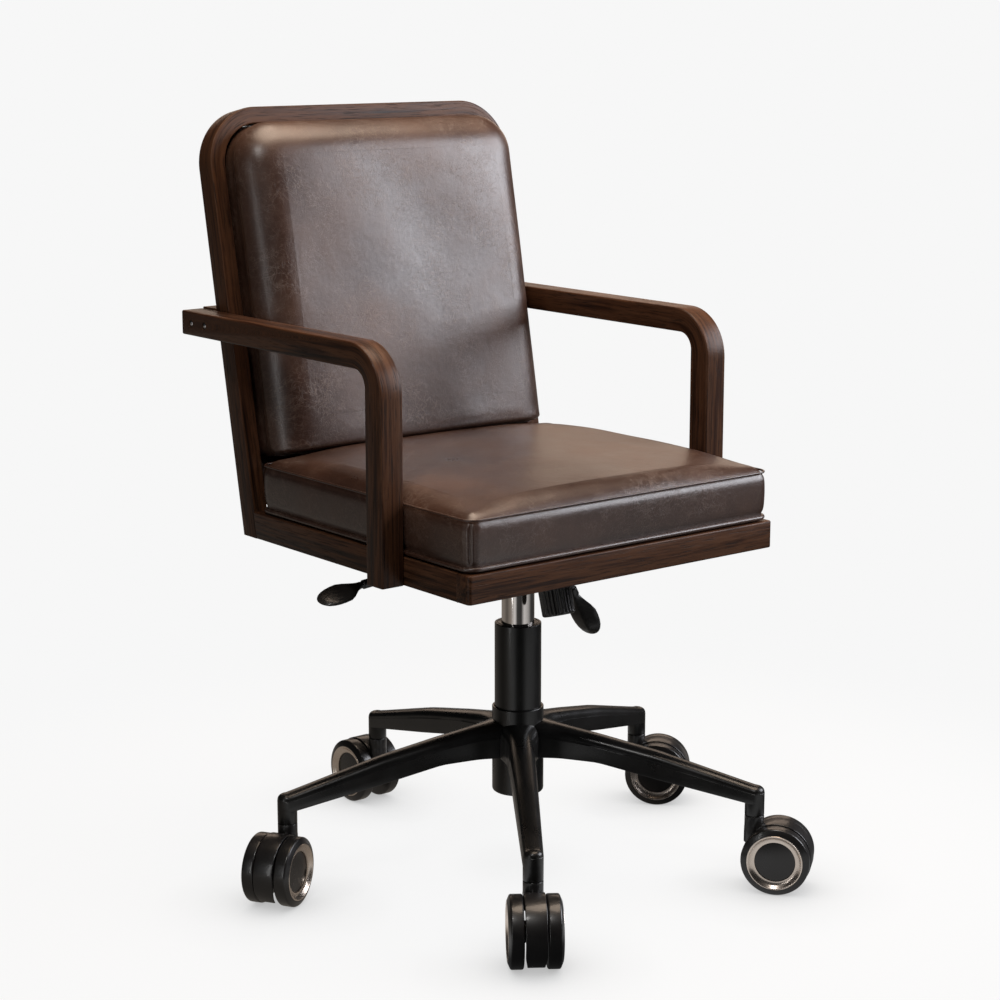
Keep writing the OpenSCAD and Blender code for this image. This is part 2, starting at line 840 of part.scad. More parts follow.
star_base();
stand_tube();
guide_bush();
thrust_bearing();
piston_rod();
gas_cylinder();
release_pin();
mechanism_housing();
mechanism_pins();
tilt_stops();
height_lever();
lock_lever();
seat_plate();
tension_bolt();
tension_spring();
tension_knob();
seat_board();
rail_front();
rail_rear();
rail_left();
rail_right();
corner_blocks();
seat_cushion();
back_frame();
back_panel();
back_cushion();
arm_left();
arm_right();
arm_rear_rail();
frame_screws();
for (k = CASTORS) {
    castor_hood(k);
    castor_pins(k);
    wheel(k, 1);
    wheel(k, -1);
    wheel_cap(k, 1);
    wheel_cap(k, -1);
}
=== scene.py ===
import json
import math

import bmesh
import bpy
import numpy as np
from mathutils import Matrix, Vector


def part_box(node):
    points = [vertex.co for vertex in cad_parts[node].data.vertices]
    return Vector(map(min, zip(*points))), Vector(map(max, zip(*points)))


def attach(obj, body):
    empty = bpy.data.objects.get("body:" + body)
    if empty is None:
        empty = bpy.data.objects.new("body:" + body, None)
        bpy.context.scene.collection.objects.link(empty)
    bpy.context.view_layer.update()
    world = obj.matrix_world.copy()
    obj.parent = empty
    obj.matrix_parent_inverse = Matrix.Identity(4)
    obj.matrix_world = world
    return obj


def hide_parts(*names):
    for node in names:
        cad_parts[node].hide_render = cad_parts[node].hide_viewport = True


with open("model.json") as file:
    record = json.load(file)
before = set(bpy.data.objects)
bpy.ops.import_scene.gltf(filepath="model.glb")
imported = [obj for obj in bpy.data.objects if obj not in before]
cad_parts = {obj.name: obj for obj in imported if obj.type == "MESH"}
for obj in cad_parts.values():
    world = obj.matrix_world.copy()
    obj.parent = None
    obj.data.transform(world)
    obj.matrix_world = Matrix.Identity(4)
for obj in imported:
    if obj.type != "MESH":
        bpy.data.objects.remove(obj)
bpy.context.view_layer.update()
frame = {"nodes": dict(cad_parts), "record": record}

MM = 0.001
scene = bpy.context.scene
draw = np.random.default_rng(893)
X, Y, Z = np.eye(3)


# ---------- sizes taken from the frame ----------

def corner(node, high):
    """Lowest or highest corner of a part's box, in millimetres."""
    return np.array(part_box(node)[int(high)]) / MM


rail_low, rail_high = corner("rail_front", False), corner("rail_front", True)
half_w = rail_high[0]
rail_z, rail_top = rail_low[2], rail_high[2]
front_y, rail_back = rail_low[1], rail_high[1]
rail_t = rail_back - front_y

LEAN = math.radians(10.7)
BACK_DEPTH = 28.5
BACK_FACE = 20.0
BACK_BEND = 60.0
frame_low, frame_high = corner("back_frame", False), corner("back_frame", True)
back_len = (frame_high[2] - frame_low[2] - BACK_DEPTH * math.sin(LEAN)) / math.cos(LEAN)
rear_y = frame_high[1] - back_len * math.sin(LEAN)
UP_LEAN = np.array([0, math.sin(LEAN), math.cos(LEAN)])
OUT_LEAN = np.array([0, -math.cos(LEAN), math.sin(LEAN)])


def leaning(x, up, out):
    """Back-frame axes to the room: x across, up along the lean, out towards the front."""
    x, up, out = (np.asarray(v, float)[..., None] for v in (x, up, out))
    return np.array([0, rear_y, rail_z]) + x * X + up * UP_LEAN + out * OUT_LEAN


# ---------- shape helpers ----------

def unit(v):
    return v / np.linalg.norm(v, axis=-1, keepdims=True)


def ease(t):
    """Smooth step from 0 to 1: 3t^2 - 2t^3, held flat outside 0 to 1."""
    t = np.clip(t, 0, 1)
    return t * t * (3 - 2 * t)


def quads(rows, cols, wrap=True, start=0):
    """Faces of a grid of points stored row after row; wrap joins each row's end to its start."""
    i = np.arange(rows - 1)[:, None] * cols + start
    j = np.arange(cols if wrap else cols - 1)[None]
    k = (j + 1) % cols
    return np.stack([i + j, i + k, i + cols + k, i + cols + j], -1).reshape(-1, 4).tolist()


def fillet(corners, radii, steps=5, closed=True):
    """An outline with rounded corners. A corner P between unit directions a and b, leaving P,
    becomes the arc about P + (a + b)/|a + b| * r / sin(half angle), swept in equal steps."""
    corners = np.asarray(corners, float)
    radii = np.broadcast_to(radii, len(corners))
    out = []
    for i, (p, r) in enumerate(zip(corners, radii)):
        if r <= 0 or (not closed and i in (0, len(corners) - 1)):
            out.append(p[None])
            continue
        a, b = unit(corners[i - 1] - p), unit(corners[(i + 1) % len(corners)] - p)
        half = math.acos(np.clip(a @ b, -1, 1)) / 2
        centre = p + unit(a + b) * r / math.sin(half)
        start, end = (p + d * r / math.tan(half) - centre for d in (a, b))
        sweep_by = math.pi - 2 * half
        t = np.linspace(0, 1, steps + 1)[:, None] * sweep_by
        out.append(centre + (np.sin(sweep_by - t) * start + np.sin(t) * end) / math.sin(sweep_by))
    return np.vstack(out)


def together(*shapes):
    """Several shapes as one: their points one after another, faces shifted to match."""
    points, faces, grain, first = [], [], [], 0
    for shape in shapes:
        points.append(shape[0])
        faces += [[v + first for v in face] for face in shape[1]]
        grain.append(shape[2])
        first += len(shape[0])
    return np.vstack(points), faces, np.vstack(grain)


def edge_ring(steps=4):
    """Corner signs and arc directions round a rectangle, a quarter circle at each corner."""
    turn = np.radians(np.linspace(0, 90, steps + 1)[None] + 90 * np.arange(4)[:, None])
    arcs = np.stack([np.cos(turn), np.sin(turn)], -1).reshape(-1, 2)
    signs = np.repeat([[1, 1], [-1, 1], [-1, -1], [1, -1]], steps + 1, axis=0)
    return signs, arcs


def bar(path, across, through, half_across, half_through, edge, rim=1.0, cuts=(None, None)):
    """A bar carried along a path. Each ring is P + A*(s*(a - r) + c*r) + B*(t*(b - r) + d*r),
    with (s, t) a corner's signs and (c, d) a quarter circle. Near each end the ring shrinks by
    q(1 - cos f) at q(1 - sin f) from the end, which rounds the rim. A cut slides an end's
    points along the path onto the plane with that normal."""
    path = np.asarray(path, float)
    n = len(path)
    across, through = (np.broadcast_to(v, (n, 3)) for v in (across, through))
    half_across, half_through = (np.broadcast_to(v, n) for v in (half_across, half_through))
    f = np.radians([90, 60, 30, 0])
    short, shrink = rim * (1 - np.sin(f)), rim * (1 - np.cos(f))
    in_first, in_last = unit(path[1] - path[0]), unit(path[-2] - path[-1])
    stations = np.vstack([path[0] + in_first * short[:, None], path[1:-1],
                          (path[-1] + in_last * short[:, None])[::-1]])
    at = np.r_[[0] * 4, 1:n - 1, [n - 1] * 4]
    inset = np.r_[shrink, np.zeros(n - 2), shrink[::-1]][:, None]
    a, b = half_across[at][:, None] - inset, half_through[at][:, None] - inset
    r = np.maximum(edge - inset, 0.02)
    signs, arcs = edge_ring()
    u = signs[:, 0] * (a - r) + arcs[:, 0] * r
    v = signs[:, 1] * (b - r) + arcs[:, 1] * r
    points = stations[:, None] + across[at][:, None] * u[..., None] + through[at][:, None] * v[..., None]
    for cut, rows, along in ((cuts[0], slice(0, 4), in_first), (cuts[1], slice(-4, None), in_last)):
        if cut is not None:
            off = (points[rows] - stations[rows][:, None]) @ cut
            points[rows] -= along * (off / (along @ cut))[..., None]
    run = np.r_[0, np.cumsum(np.linalg.norm(np.diff(stations, axis=0), axis=1))]
    grain = np.stack([np.broadcast_to(run[:, None], u.shape), u, v], -1).reshape(-1, 3)
    rows, cols = u.shape
    faces = quads(rows, cols) + [list(range(cols)), list(range((rows - 1) * cols, rows * cols))]
    return points.reshape(-1, 3), faces, grain


def inset_by(outline, d):
    """An outline moved inwards by d: P - n*d, n being the mitred outward normal at P."""
    ahead, behind = np.roll(outline, -1, 0) - outline, outline - np.roll(outline, 1, 0)
    n1, n2 = (unit(np.stack([e[:, 1], -e[:, 0]], -1)) for e in (ahead, behind))
    n = unit(n1 + n2)
    return outline - n * d / np.sum(n * n1, 1, keepdims=True)


def prism(outline, low, high, edge, axes=(X, Y, Z), origin=(0, 0, 0), grain_axes=(0, 1, 2)):
    """An anticlockwise outline raised from low to high with rounded rims: rings inset by
    e(1 - cos f) at e(1 - sin f) from each face."""
    f = np.radians([90, 60, 30, 0])
    short, shrink = edge * (1 - np.sin(f)), edge * (1 - np.cos(f))
    rings = [(low + s, d) for s, d in zip(short, shrink)]
    rings += [(high - s, d) for s, d in zip(short[::-1], shrink[::-1])]
    flat = np.vstack([np.column_stack([inset_by(outline, d), np.full(len(outline), h)])
                      for h, d in rings])
    n = len(outline)
    faces = quads(len(rings), n) + [list(range(n)), list(range((len(rings) - 1) * n, len(rings) * n))]
    return np.array(origin, float) + flat @ np.array(axes), faces, flat[:, grain_axes]


def turned(profile, centre=(0, 0, 0), axis=Z, steps=96, side=None):
    """A profile of (radius, height) turned about an axis: C + A*h + (S cos t + T sin t)*r."""
    profile = np.asarray(profile, float)
    axis = unit(np.asarray(axis, float))
    side = unit(np.cross(axis, X if abs(axis[0]) < 0.9 else Y)) if side is None else side
    t = np.arange(steps) * 2 * math.pi / steps
    around = np.cos(t)[:, None] * side + np.sin(t)[:, None] * np.cross(axis, side)
    points = np.array(centre, float) + profile[:, None, 1:] * axis + profile[:, None, :1] * around
    grain = np.broadcast_to(np.column_stack([profile * 1.0, np.zeros(len(profile))])[:, None],
                            (len(profile), steps, 3))
    return points.reshape(-1, 3), quads(len(profile), steps), grain.reshape(-1, 3)


def loop(profile):
    """A closed profile: its first point is repeated at the end."""
    return np.vstack([profile, profile[:1]])


def cord(path, radius, sides=10):
    """A round cord along a closed level path: rings P + N r cos t + Z r sin t."""
    ahead, behind = np.roll(path, -1, 0) - path, path - np.roll(path, 1, 0)
    along = unit(unit(ahead) + unit(behind))
    out = unit(np.cross(along, Z))
    t = np.arange(sides) * 2 * math.pi / sides
    points = path[:, None] + radius * (np.cos(t)[None, :, None] * out[:, None] + np.sin(t)[:, None] * Z)
    n = len(path)
    faces = quads(n, sides) + [[(n - 1) * sides + j, (n - 1) * sides + (j + 1) % sides,
                                (j + 1) % sides, j] for j in range(sides)]
    run = np.cumsum(np.linalg.norm(behind, axis=1))
    grain = np.stack([np.repeat(run, sides), np.tile(t, n) * radius, np.zeros(n * sides)], -1)
    return points.reshape(-1, 3), faces, grain


def smooth_faces(mesh, crease):
    mesh.shade_smooth()
    mesh.set_sharp_from_angle(angle=math.radians(crease))


def make(name, shape, finish, body, slot, stands_for=(), crease=35):
    """A shape as a named piece: doubles merged, faces turned outwards, smooth up to the crease
    angle. The grain attribute holds its own coordinates in metres, shifted at random on walnut pieces."""
    points, faces, grain = shape
    mesh = bpy.data.meshes.new(name)
    mesh.from_pydata((points * MM).tolist(), [], faces)
    shifted = grain * MM + draw.uniform(0, 3, 3) * (1 if slot == "walnut" else 0)
    mesh.attributes.new("grain", "FLOAT_VECTOR", "POINT").data.foreach_set(
        "vector", shifted.astype(np.float32).ravel())
    work = bmesh.new()
    work.from_mesh(mesh)
    bmesh.ops.remove_doubles(work, verts=work.verts, dist=2e-6)
    bmesh.ops.recalc_face_normals(work, faces=work.faces)
    work.to_mesh(mesh)
    work.free()
    smooth_faces(mesh, crease)
    mesh.materials.append(finish)
    piece = bpy.data.objects.new(name, mesh)
    scene.collection.objects.link(piece)
    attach(piece, body)
    if stands_for:
        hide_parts(*stands_for)
    return piece


def fixed(piece, crease=35):
    """Applies a piece's modifiers: its evaluated mesh takes the place of its own."""
    scene.view_layers[0].update()
    seen = piece.evaluated_get(bpy.context.evaluated_depsgraph_get())
    mesh = bpy.data.meshes.new_from_object(seen)
    piece.modifiers.clear()
    old, piece.data = piece.data, mesh
    bpy.data.meshes.remove(old)
    mesh.name = piece.name
    smooth_faces(mesh, crease)


def drill(piece, holes):
    """Cuts round holes, given as shapes, out of a piece."""
    mesh = bpy.data.meshes.new("drill")
    points, faces, _ = together(*holes)
    mesh.from_pydata((points * MM).tolist(), [], faces)
    cutter = bpy.data.objects.new("drill", mesh)
    scene.collection.objects.link(cutter)
    cut = piece.modifiers.new("drill", "BOOLEAN")
    cut.object, cut.operation, cut.solver = cutter, "DIFFERENCE", "EXACT"
    fixed(piece)
    bpy.data.objects.remove(cutter)


# ---------- finishes ----------

class Wiring:
    """A node tree under way, with short ways to add nodes."""

    def __init__(self, owner):
        owner.use_nodes = True
        self.tree = owner.node_tree

    def node(self, kind, feeds, **settings):
        """A node with its settings, and its inputs fed by sockets or plain values."""
        made = self.tree.nodes.new("ShaderNode" + kind)
        for key, value in settings.items():
            setattr(made, key, value)
        for key, value in feeds.items():
            if isinstance(value, bpy.types.NodeSocket):
                self.tree.links.new(value, made.inputs[key])
            else:
                made.inputs[key].default_value = value
        return made

    def stretched(self, source, scale):
        """Coordinates multiplied axis by axis."""
        return self.node("Mapping", {"Vector": source, "Scale": scale}).outputs["Vector"]

    def hairs(self, source, angles, stretch, wide):
        """Fine curved lines: where a noise drawn out along one leaning direction passes its middle."""
        leaning_way = self.node("Mapping", {"Vector": source, "Rotation": angles}).outputs["Vector"]
        drawn = self.noise(self.stretched(leaning_way, stretch), 1.0, 2.0, 0.45, 0.35)
        off_middle = self.maths("ABSOLUTE", self.maths("SUBTRACT", drawn, 0.5))
        return self.ranged(off_middle, 0.0, wide, 1.0, 0.0)

    def noise(self, source, scale, detail=3.0, rough=0.55, twist=0.0):
        """Fractal noise, 0 to 1."""
        feeds = {"Vector": source, "Scale": scale, "Detail": detail, "Roughness": rough, "Distortion": twist}
        return self.node("TexNoise", feeds).outputs["Fac"]

    def cells(self, source, scale, feature="DISTANCE_TO_EDGE"):
        """Distance to the nearest wall between random cells."""
        return self.node("TexVoronoi", {"Vector": source, "Scale": scale}, feature=feature).outputs["Distance"]

    def ranged(self, source, low, high, to_low, to_high):
        """A smooth step from one range to another."""
        feeds = {0: source, 1: low, 2: high, 3: to_low, 4: to_high}
        return self.node("MapRange", feeds, interpolation_type="SMOOTHSTEP").outputs[0]

    def maths(self, operation, a, b=0.5):
        """One arithmetic step."""
        return self.node("Math", {0: a, 1: b}, operation=operation).outputs[0]

    def tinted(self, source, *stops):
        """A colour ramp: stops of (place, (r, g, b))."""
        made = self.node("ValToRGB", {"Fac": source})
        marks = made.color_ramp.elements
        while len(marks) < len(stops):
            marks.new(0.5)
        for mark, (place, colour) in zip(marks, stops):
            mark.position, mark.color = place, (*colour, 1)
        return made.outputs["Color"]

    def blended(self, amount, first, second, how="MIX"):
        made = self.node("Mix", {0: amount, 6: first, 7: second}, data_type="RGBA", blend_type=how)
        return made.outputs[2]


class Finish(Wiring):
    """A material under way: its wiring and its Principled shader, with the constants set on it."""

    def __init__(self, name, **constants):
        self.material = bpy.data.materials.new(name)
        super().__init__(self.material)
        self.shader = self.tree.nodes["Principled BSDF"]
        for socket, value in constants.items():
            self.shader.inputs[socket.replace("_", " ")].default_value = value
        self.place = self.node("TexCoord", {}).outputs["Object"]

    def grain(self):
        """The mesh attribute with a member's own along, across and through."""
        return self.node("Attribute", {}, attribute_name="grain").outputs["Vector"]

    def relief(self, *layers):
        """Bump layers of (height socket, depth in metres), one laid over another."""
        normal = None
        for height, depth in layers:
            feeds = {"Height": height, "Distance": depth, "Strength": 1.0}
            if normal:
                feeds["Normal"] = normal
            normal = self.node("Bump", feeds).outputs["Normal"]
        self.tree.links.new(normal, self.shader.inputs["Normal"])

    def feed(self, **sockets):
        """Sockets of the shader fed by node outputs."""
        for name, source in sockets.items():
            self.tree.links.new(source, self.shader.inputs[name.replace("_", " ")])
        return self


def make_leather():
    """Pull-up aniline leather: clouded chestnut brown, a web of fine pale creases that comes and
    goes, small pores, and a waxed shine that varies with the clouding."""
    f = Finish("leather", Specular_IOR_Level=0.8, IOR=1.5, Coat_Weight=0.22, Coat_Roughness=0.3)
    drift = f.node("TexNoise", {"Vector": f.place, "Scale": 14.0, "Detail": 4.0}).outputs["Color"]
    bent = f.node("Mix", {0: 0.05, 4: f.place, 5: drift}, data_type="VECTOR").outputs[1]
    cloud = f.noise(f.place, 5.5, 6.0, 0.6)
    patchy = f.noise(f.place, 13.0, 3.0, 0.6, 0.5)
    fleck = f.noise(f.place, 210.0, 4.0, 0.7)
    webs = [f.ranged(f.cells(f.stretched(bent, stretch), scale), 0.0, wide, 1.0, 0.0)
            for stretch, scale, wide in (((1, 1, 0.55), 36.0, 0.022), ((1.6, 1, 0.9), 64.0, 0.035),
                                         ((0.7, 1, 1.5), 23.0, 0.014))]
    web = f.maths("MAXIMUM", f.maths("MAXIMUM", webs[0], f.maths("MULTIPLY", webs[1], 0.7)), webs[2])
    web = f.maths("MULTIPLY", web, f.ranged(patchy, 0.46, 0.70, 0.0, 0.6))
    strands = [f.hairs(bent, angles, stretch, wide) for angles, stretch, wide in (
        ((0.5, 0.4, 0.9), (14, 95, 95), 0.012), ((1.3, -0.7, 0.3), (17, 120, 120), 0.014),
        ((-0.4, 1.2, 1.9), (12, 85, 85), 0.010), ((0.9, 2.0, -0.6), (20, 140, 140), 0.014))]
    strands = f.maths("MAXIMUM", f.maths("MAXIMUM", strands[0], strands[1]),
                      f.maths("MAXIMUM", strands[2], strands[3]))
    web = f.maths("MAXIMUM", web, f.maths("MULTIPLY", strands, f.ranged(patchy, 0.36, 0.64, 0.12, 0.85)))
    pores = f.ranged(f.cells(f.place, 560.0), 0.0, 0.3, 0.0, 1.0)
    colour = f.tinted(cloud, (0.30, (0.026, 0.011, 0.007)), (0.5, (0.052, 0.022, 0.013)),
                      (0.70, (0.098, 0.044, 0.024)))
    colour = f.blended(f.ranged(fleck, 0.5, 0.8, 0.0, 0.35), colour, (0.10, 0.055, 0.036, 1))
    colour = f.blended(f.maths("MULTIPLY", web, 0.45), colour, (0.27, 0.19, 0.15, 1))
    shine = f.maths("ADD", f.ranged(cloud, 0.3, 0.7, 0.27, 0.42), f.maths("MULTIPLY", web, 0.08))
    f.feed(Base_Color=colour, Roughness=shine)
    f.relief((cloud, 0.0022), (web, 0.00008), (pores, 0.00003), (fleck, 0.00007))
    return f.material


def make_walnut():
    """Oiled walnut: flame bands and open pores drawn out along each member, from its own grain
    coordinates (along, across, through)."""
    f = Finish("walnut", Specular_IOR_Level=0.22, IOR=1.5, Coat_Weight=0.02, Coat_Roughness=0.25)
    g = f.grain()
    flame = f.noise(f.stretched(g, (3.0, 62.0, 62.0)), 1.0, 5.0, 0.62, 0.8)
    fibre = f.noise(f.stretched(g, (8.0, 300.0, 300.0)), 1.0, 4.0, 0.6)
    pores = f.noise(f.stretched(g, (30.0, 700.0, 700.0)), 1.0, 2.0, 0.5)
    band = f.tinted(flame, (0.36, (0.012, 0.0045, 0.0025)), (0.45, (0.042, 0.016, 0.008)),
                    (0.54, (0.105, 0.044, 0.021)), (0.63, (0.040, 0.015, 0.008)))
    band = f.blended(f.ranged(fibre, 0.42, 0.66, 0.0, 0.6), band, (0.135, 0.060, 0.029, 1), "MIX")
    open_pore = f.ranged(pores, 0.56, 0.66, 0.0, 1.0)
    f.feed(Base_Color=f.blended(f.maths("MULTIPLY", open_pore, 0.7), band, (0.010, 0.005, 0.003, 1)),
           Roughness=f.maths("ADD", f.ranged(fibre, 0.3, 0.7, 0.34, 0.44), f.maths("MULTIPLY", open_pore, 0.15)))
    f.relief((fibre, 0.00003), (f.ranged(pores, 0.54, 0.66, 1.0, 0.0), 0.00006))
    return f.material


def make_enamel(name, tone, rough, skin_scale, skin_depth, coat=0.3):
    """A black finish: a faint skin of ripples, and roughness that drifts like handled paint."""
    f = Finish(name, Specular_IOR_Level=0.5, Coat_Weight=coat, Coat_Roughness=0.12)
    drift = f.noise(f.place, 22.0, 4.0)
    skin = f.noise(f.place, skin_scale, 2.0)
    f.feed(Base_Color=f.tinted(drift, (0.3, tuple(c * 0.75 for c in tone)), (0.7, tuple(c * 1.3 for c in tone))),
           Roughness=f.ranged(drift, 0.3, 0.7, rough - 0.04, rough + 0.05))
    f.relief((skin, skin_depth))
    return f.material


def make_metal(name, dark, light, rough, line_scale, line_depth, turned_marks=False):
    """A metal: brushed lines, round the axis on turned parts, and faint handling smudges."""
    f = Finish(name, Metallic=1.0, Specular_IOR_Level=0.5)
    source = f.grain() if turned_marks else f.place
    lines = f.noise(source, line_scale, 3.0)
    smudge = f.noise(f.place, 35.0, 4.0)
    f.feed(Base_Color=f.tinted(smudge, (0.25, dark), (0.75, light)),
           Roughness=f.maths("ADD", f.ranged(smudge, 0.3, 0.7, rough - 0.02, rough + 0.04),
                             f.ranged(lines, 0.3, 0.7, 0.0, 0.05)))
    f.relief((lines, line_depth))
    return f.material


def make_plywood():
    """Birch plywood: thin plies in alternate tones by height, with a soft figure."""
    f = Finish("plywood", Specular_IOR_Level=0.3, Roughness=0.6)
    plies = f.node("TexWave", {"Vector": f.place, "Scale": 110.0, "Distortion": 0.6}, bands_direction="Z")
    figure = f.noise(f.stretched(f.place, (4.0, 90.0, 90.0)), 1.0, 4.0)
    tone = f.tinted(plies.outputs["Fac"], (0.3, (0.36, 0.25, 0.15)), (0.7, (0.52, 0.39, 0.25)))
    f.feed(Base_Color=f.blended(f.ranged(figure, 0.3, 0.7, 0.0, 0.4), tone, (0.30, 0.20, 0.12, 1)))
    f.relief((figure, 0.00005))
    return f.material


leather = make_leather()
walnut = make_walnut()
plywood = make_plywood()
base_paint = make_enamel("base_paint", (0.008, 0.0075, 0.007), 0.30, 900.0, 0.000010, 0.12)
cast_paint = make_enamel("cast_paint", (0.012, 0.011, 0.011), 0.42, 700.0, 0.00004)
moulded = make_enamel("moulded_plastic", (0.013, 0.012, 0.012), 0.33, 1600.0, 0.00002)
handle_plastic = make_enamel("handle_plastic", (0.016, 0.014, 0.013), 0.38, 1500.0, 0.00003)
disc_plastic = make_enamel("disc_plastic", (0.015, 0.012, 0.011), 0.30, 1200.0, 0.00001)
rubber = make_enamel("rubber", (0.018, 0.018, 0.018), 0.7, 500.0, 0.00005, 0.0)
champagne = make_metal("champagne_ring", (0.66, 0.56, 0.48), (0.80, 0.71, 0.63), 0.24, 1400.0, 0.00001, True)
chrome = make_metal("chrome", (0.62, 0.58, 0.55), (0.70, 0.66, 0.63), 0.06, 300.0, 0.000002, True)
steel = make_metal("bright_steel", (0.42, 0.42, 0.43), (0.56, 0.56, 0.57), 0.3, 900.0, 0.00001)
dark_steel = make_metal("dark_steel", (0.07, 0.065, 0.06), (0.13, 0.12, 0.11), 0.35, 900.0, 0.00001)
by_slot = {"base_black": base_paint, "mechanism_black": cast_paint, "control_plastic": handle_plastic,
           "castor_plastic": moulded, "wheel_trim": champagne, "column_chrome": chrome, "steel": steel,
           "dark_steel": dark_steel, "rubber": rubber, "walnut": walnut, "plywood": plywood,
           "leather": leather}


# ---------- wood ----------

WOOD_EDGE = 1.6
BUTT_RIM = 0.3


def make_back_frame():
    """A bent loop: two straight stiles, two bends and a top bar, cut level at the foot."""
    mid = half_w - BACK_FACE / 2
    start = -BACK_DEPTH / 2 * math.tan(LEAN)
    top = back_len - BACK_FACE / 2
    flat = fillet([(-mid, start), (-mid, top), (mid, top), (mid, start)], [0, BACK_BEND, BACK_BEND, 0],
                  24, closed=False)
    along = unit(np.gradient(flat, axis=0))
    along[[0, 1, -2, -1]] = [[0, 1], [0, 1], [0, -1], [0, -1]]
    across = -along[:, 1:] * X + along[:, :1] * UP_LEAN
    shape = bar(leaning(flat[:, 0], flat[:, 1], BACK_DEPTH / 2), across, OUT_LEAN, BACK_FACE / 2,
                BACK_DEPTH / 2, WOOD_EDGE, 0.5, (Z, Z))
    return make("back_frame_loop", shape, walnut, "seat", "walnut", ["back_frame"])


def make_rails():
    """Front rail with rounded corners in plan; side rails whose rear ends meet the leaning stiles."""
    plan = fillet([(-half_w, rail_back), (-half_w, front_y), (half_w, front_y), (half_w, rail_back)],
                  [0.3, 5, 5, 0.3], 8)
    make("front_rail", prism(plan, rail_z, rail_top, WOOD_EDGE), walnut, "seat", "walnut", ["rail_front"])
    middle = (rail_z + rail_top) / 2
    up = (middle - rail_z - BACK_DEPTH * math.sin(LEAN)) / math.cos(LEAN)
    end_y = rear_y + up * math.sin(LEAN) - BACK_DEPTH * math.cos(LEAN)
    for side, name in ((-1, "left"), (1, "right")):
        x = side * (half_w - rail_t / 2)
        shape = bar([(x, rail_back, middle), (x, end_y, middle)], X, Z, rail_t / 2,
                    (rail_top - rail_z) / 2, WOOD_EDGE, BUTT_RIM, (None, OUT_LEAN))
        make(name + "_rail", shape, walnut, "seat", "walnut", ["rail_" + name])
    low, high = corner("rail_rear", False), corner("rail_rear", True)
    centre, half = (low + high) / 2, (high - low) / 2
    shape = bar([centre - half * X, centre + half * X], Y, Z, half[1], half[2], WOOD_EDGE, BUTT_RIM)
    make("rear_rail", shape, walnut, "seat", "walnut", ["rail_rear"])


SCREW_HOLE = (4.0, 3.0)
STILE_SCREW_IN = 18.0
REAR_SCREW_IN = 20.5


def make_arms():
    """Bent arms: an outer and an inner curve with matching arcs; each ring spans from one to the
    other. Two round recesses hold the screws on the outer face. A rail joins both behind the back."""
    for side, name in ((-1, "left"), (1, "right")):
        low, high = corner("arm_" + name, False), corner("arm_" + name, True)
        x, half_x = (low[0] + high[0]) / 2, (high[0] - low[0]) / 2
        front, rear, foot, top = low[1], high[1], low[2], high[2]
        leg, height = 30.0, 29.0
        outer = fillet([(front, foot), (front, top), (rear, top)], 58, 20, closed=False)
        inner = fillet([(front + leg, foot), (front + leg, top - height), (rear, top - height)], 20, 20,
                       closed=False)
        middle, thick = (outer + inner) / 2, outer - inner
        reach = np.linalg.norm(thick, axis=1)
        through = thick[:, :1] * Y + thick[:, 1:] * Z
        path = middle[:, :1] * Y + middle[:, 1:] * Z + x * X
        shape = bar(path, X, unit(through), half_x, reach / 2, 2.2, 1.4)
        arm = make(name + "_arm", shape, walnut, "seat", "walnut", ["arm_" + name])
        z = top - height / 2
        stile_y = rear_y + (z - rail_z) * math.tan(LEAN) - STILE_SCREW_IN
        face = x + side * half_x
        radius, depth = SCREW_HOLE
        profile = [(0, -depth), (radius, -depth), (radius, 2), (0, 2)]
        places = [(face, y, z) for y in (stile_y, rear - REAR_SCREW_IN)]
        drill(arm, [turned(profile, place, side * X, 40) for place in places])
        head = fillet([(0, 0.4), (1.6, 0.1), (2.9, -0.9), (3.5, -3.2), (0, -3.2)], [0, 1.0, 0.8, 0.2, 0], 3,
                      closed=False)
        make(name + "_arm_screw_heads", together(*[turned(head, place, side * X, 32) for place in places]),
             steel, "seat", "steel")
    low, high = corner("arm_rear_rail", False), corner("arm_rear_rail", True)
    lean_run = (high[2] - low[2]) * math.tan(LEAN)
    section = fillet([(low[1], low[2]), (high[1], low[2]), (high[1], high[2]), (low[1] + lean_run, high[2])],
                     1.6, 4)
    shape = prism(section, low[0], high[0], BUTT_RIM, (Y, Z, X), grain_axes=(2, 0, 1))
    make("arm_cross_rail", shape, walnut, "seat", "walnut", ["arm_rear_rail"])


make_back_frame()
make_rails()
make_arms()

# ---------- base and column ----------

ARMS = 5
FIRST_ARM = math.radians(-125.57)
STEM_R = 287.9
hub_low = corner("stand_tube", False)[2] - 3
post_seam = corner("star_base", False)[2]
hub_top = corner("star_base", True)[2]
stand_top = corner("stand_tube", True)[2]
stand_r = corner("stand_tube", True)[0]
gas_r = corner("gas_cylinder", True)[0]
HUB_WALL = 3.0
POST_R = 11.5
tip_z = post_seam + 32.4


def arm_half_width(r):
    """Half width of a base arm: a straight taper, flared by an eased curve into the hub."""
    taper = 17 + (POST_R - 17) * np.clip(r / STEM_R, 0, 1)
    return taper + 7 * (1 - ease((r - 26) / 46)) ** 2


def arm_heights(r):
    """Top and underside of a base arm at radius r, through five chosen points each, smoothed
    by blending each stretch's slope."""
    stations = np.array([0, 35, 101, 173, 276.4, STEM_R + POST_R])
    tops = np.array([191, 183, 170.5, 155.5, 127.0, 121.0]) - 121 + tip_z
    lows = np.array([143, 142.6, 140, 125, 105, 101]) - 121 + tip_z
    fine = np.linspace(0, stations[-1], 240)
    blur = np.exp(-np.linspace(-2, 2, 21) ** 2)
    soft = [np.convolve(np.pad(np.interp(fine, stations, h), 10, "edge"), blur / blur.sum(), "valid")
            for h in (tops, lows)]
    return np.interp(r, fine, soft[0]), np.interp(r, fine, soft[1])


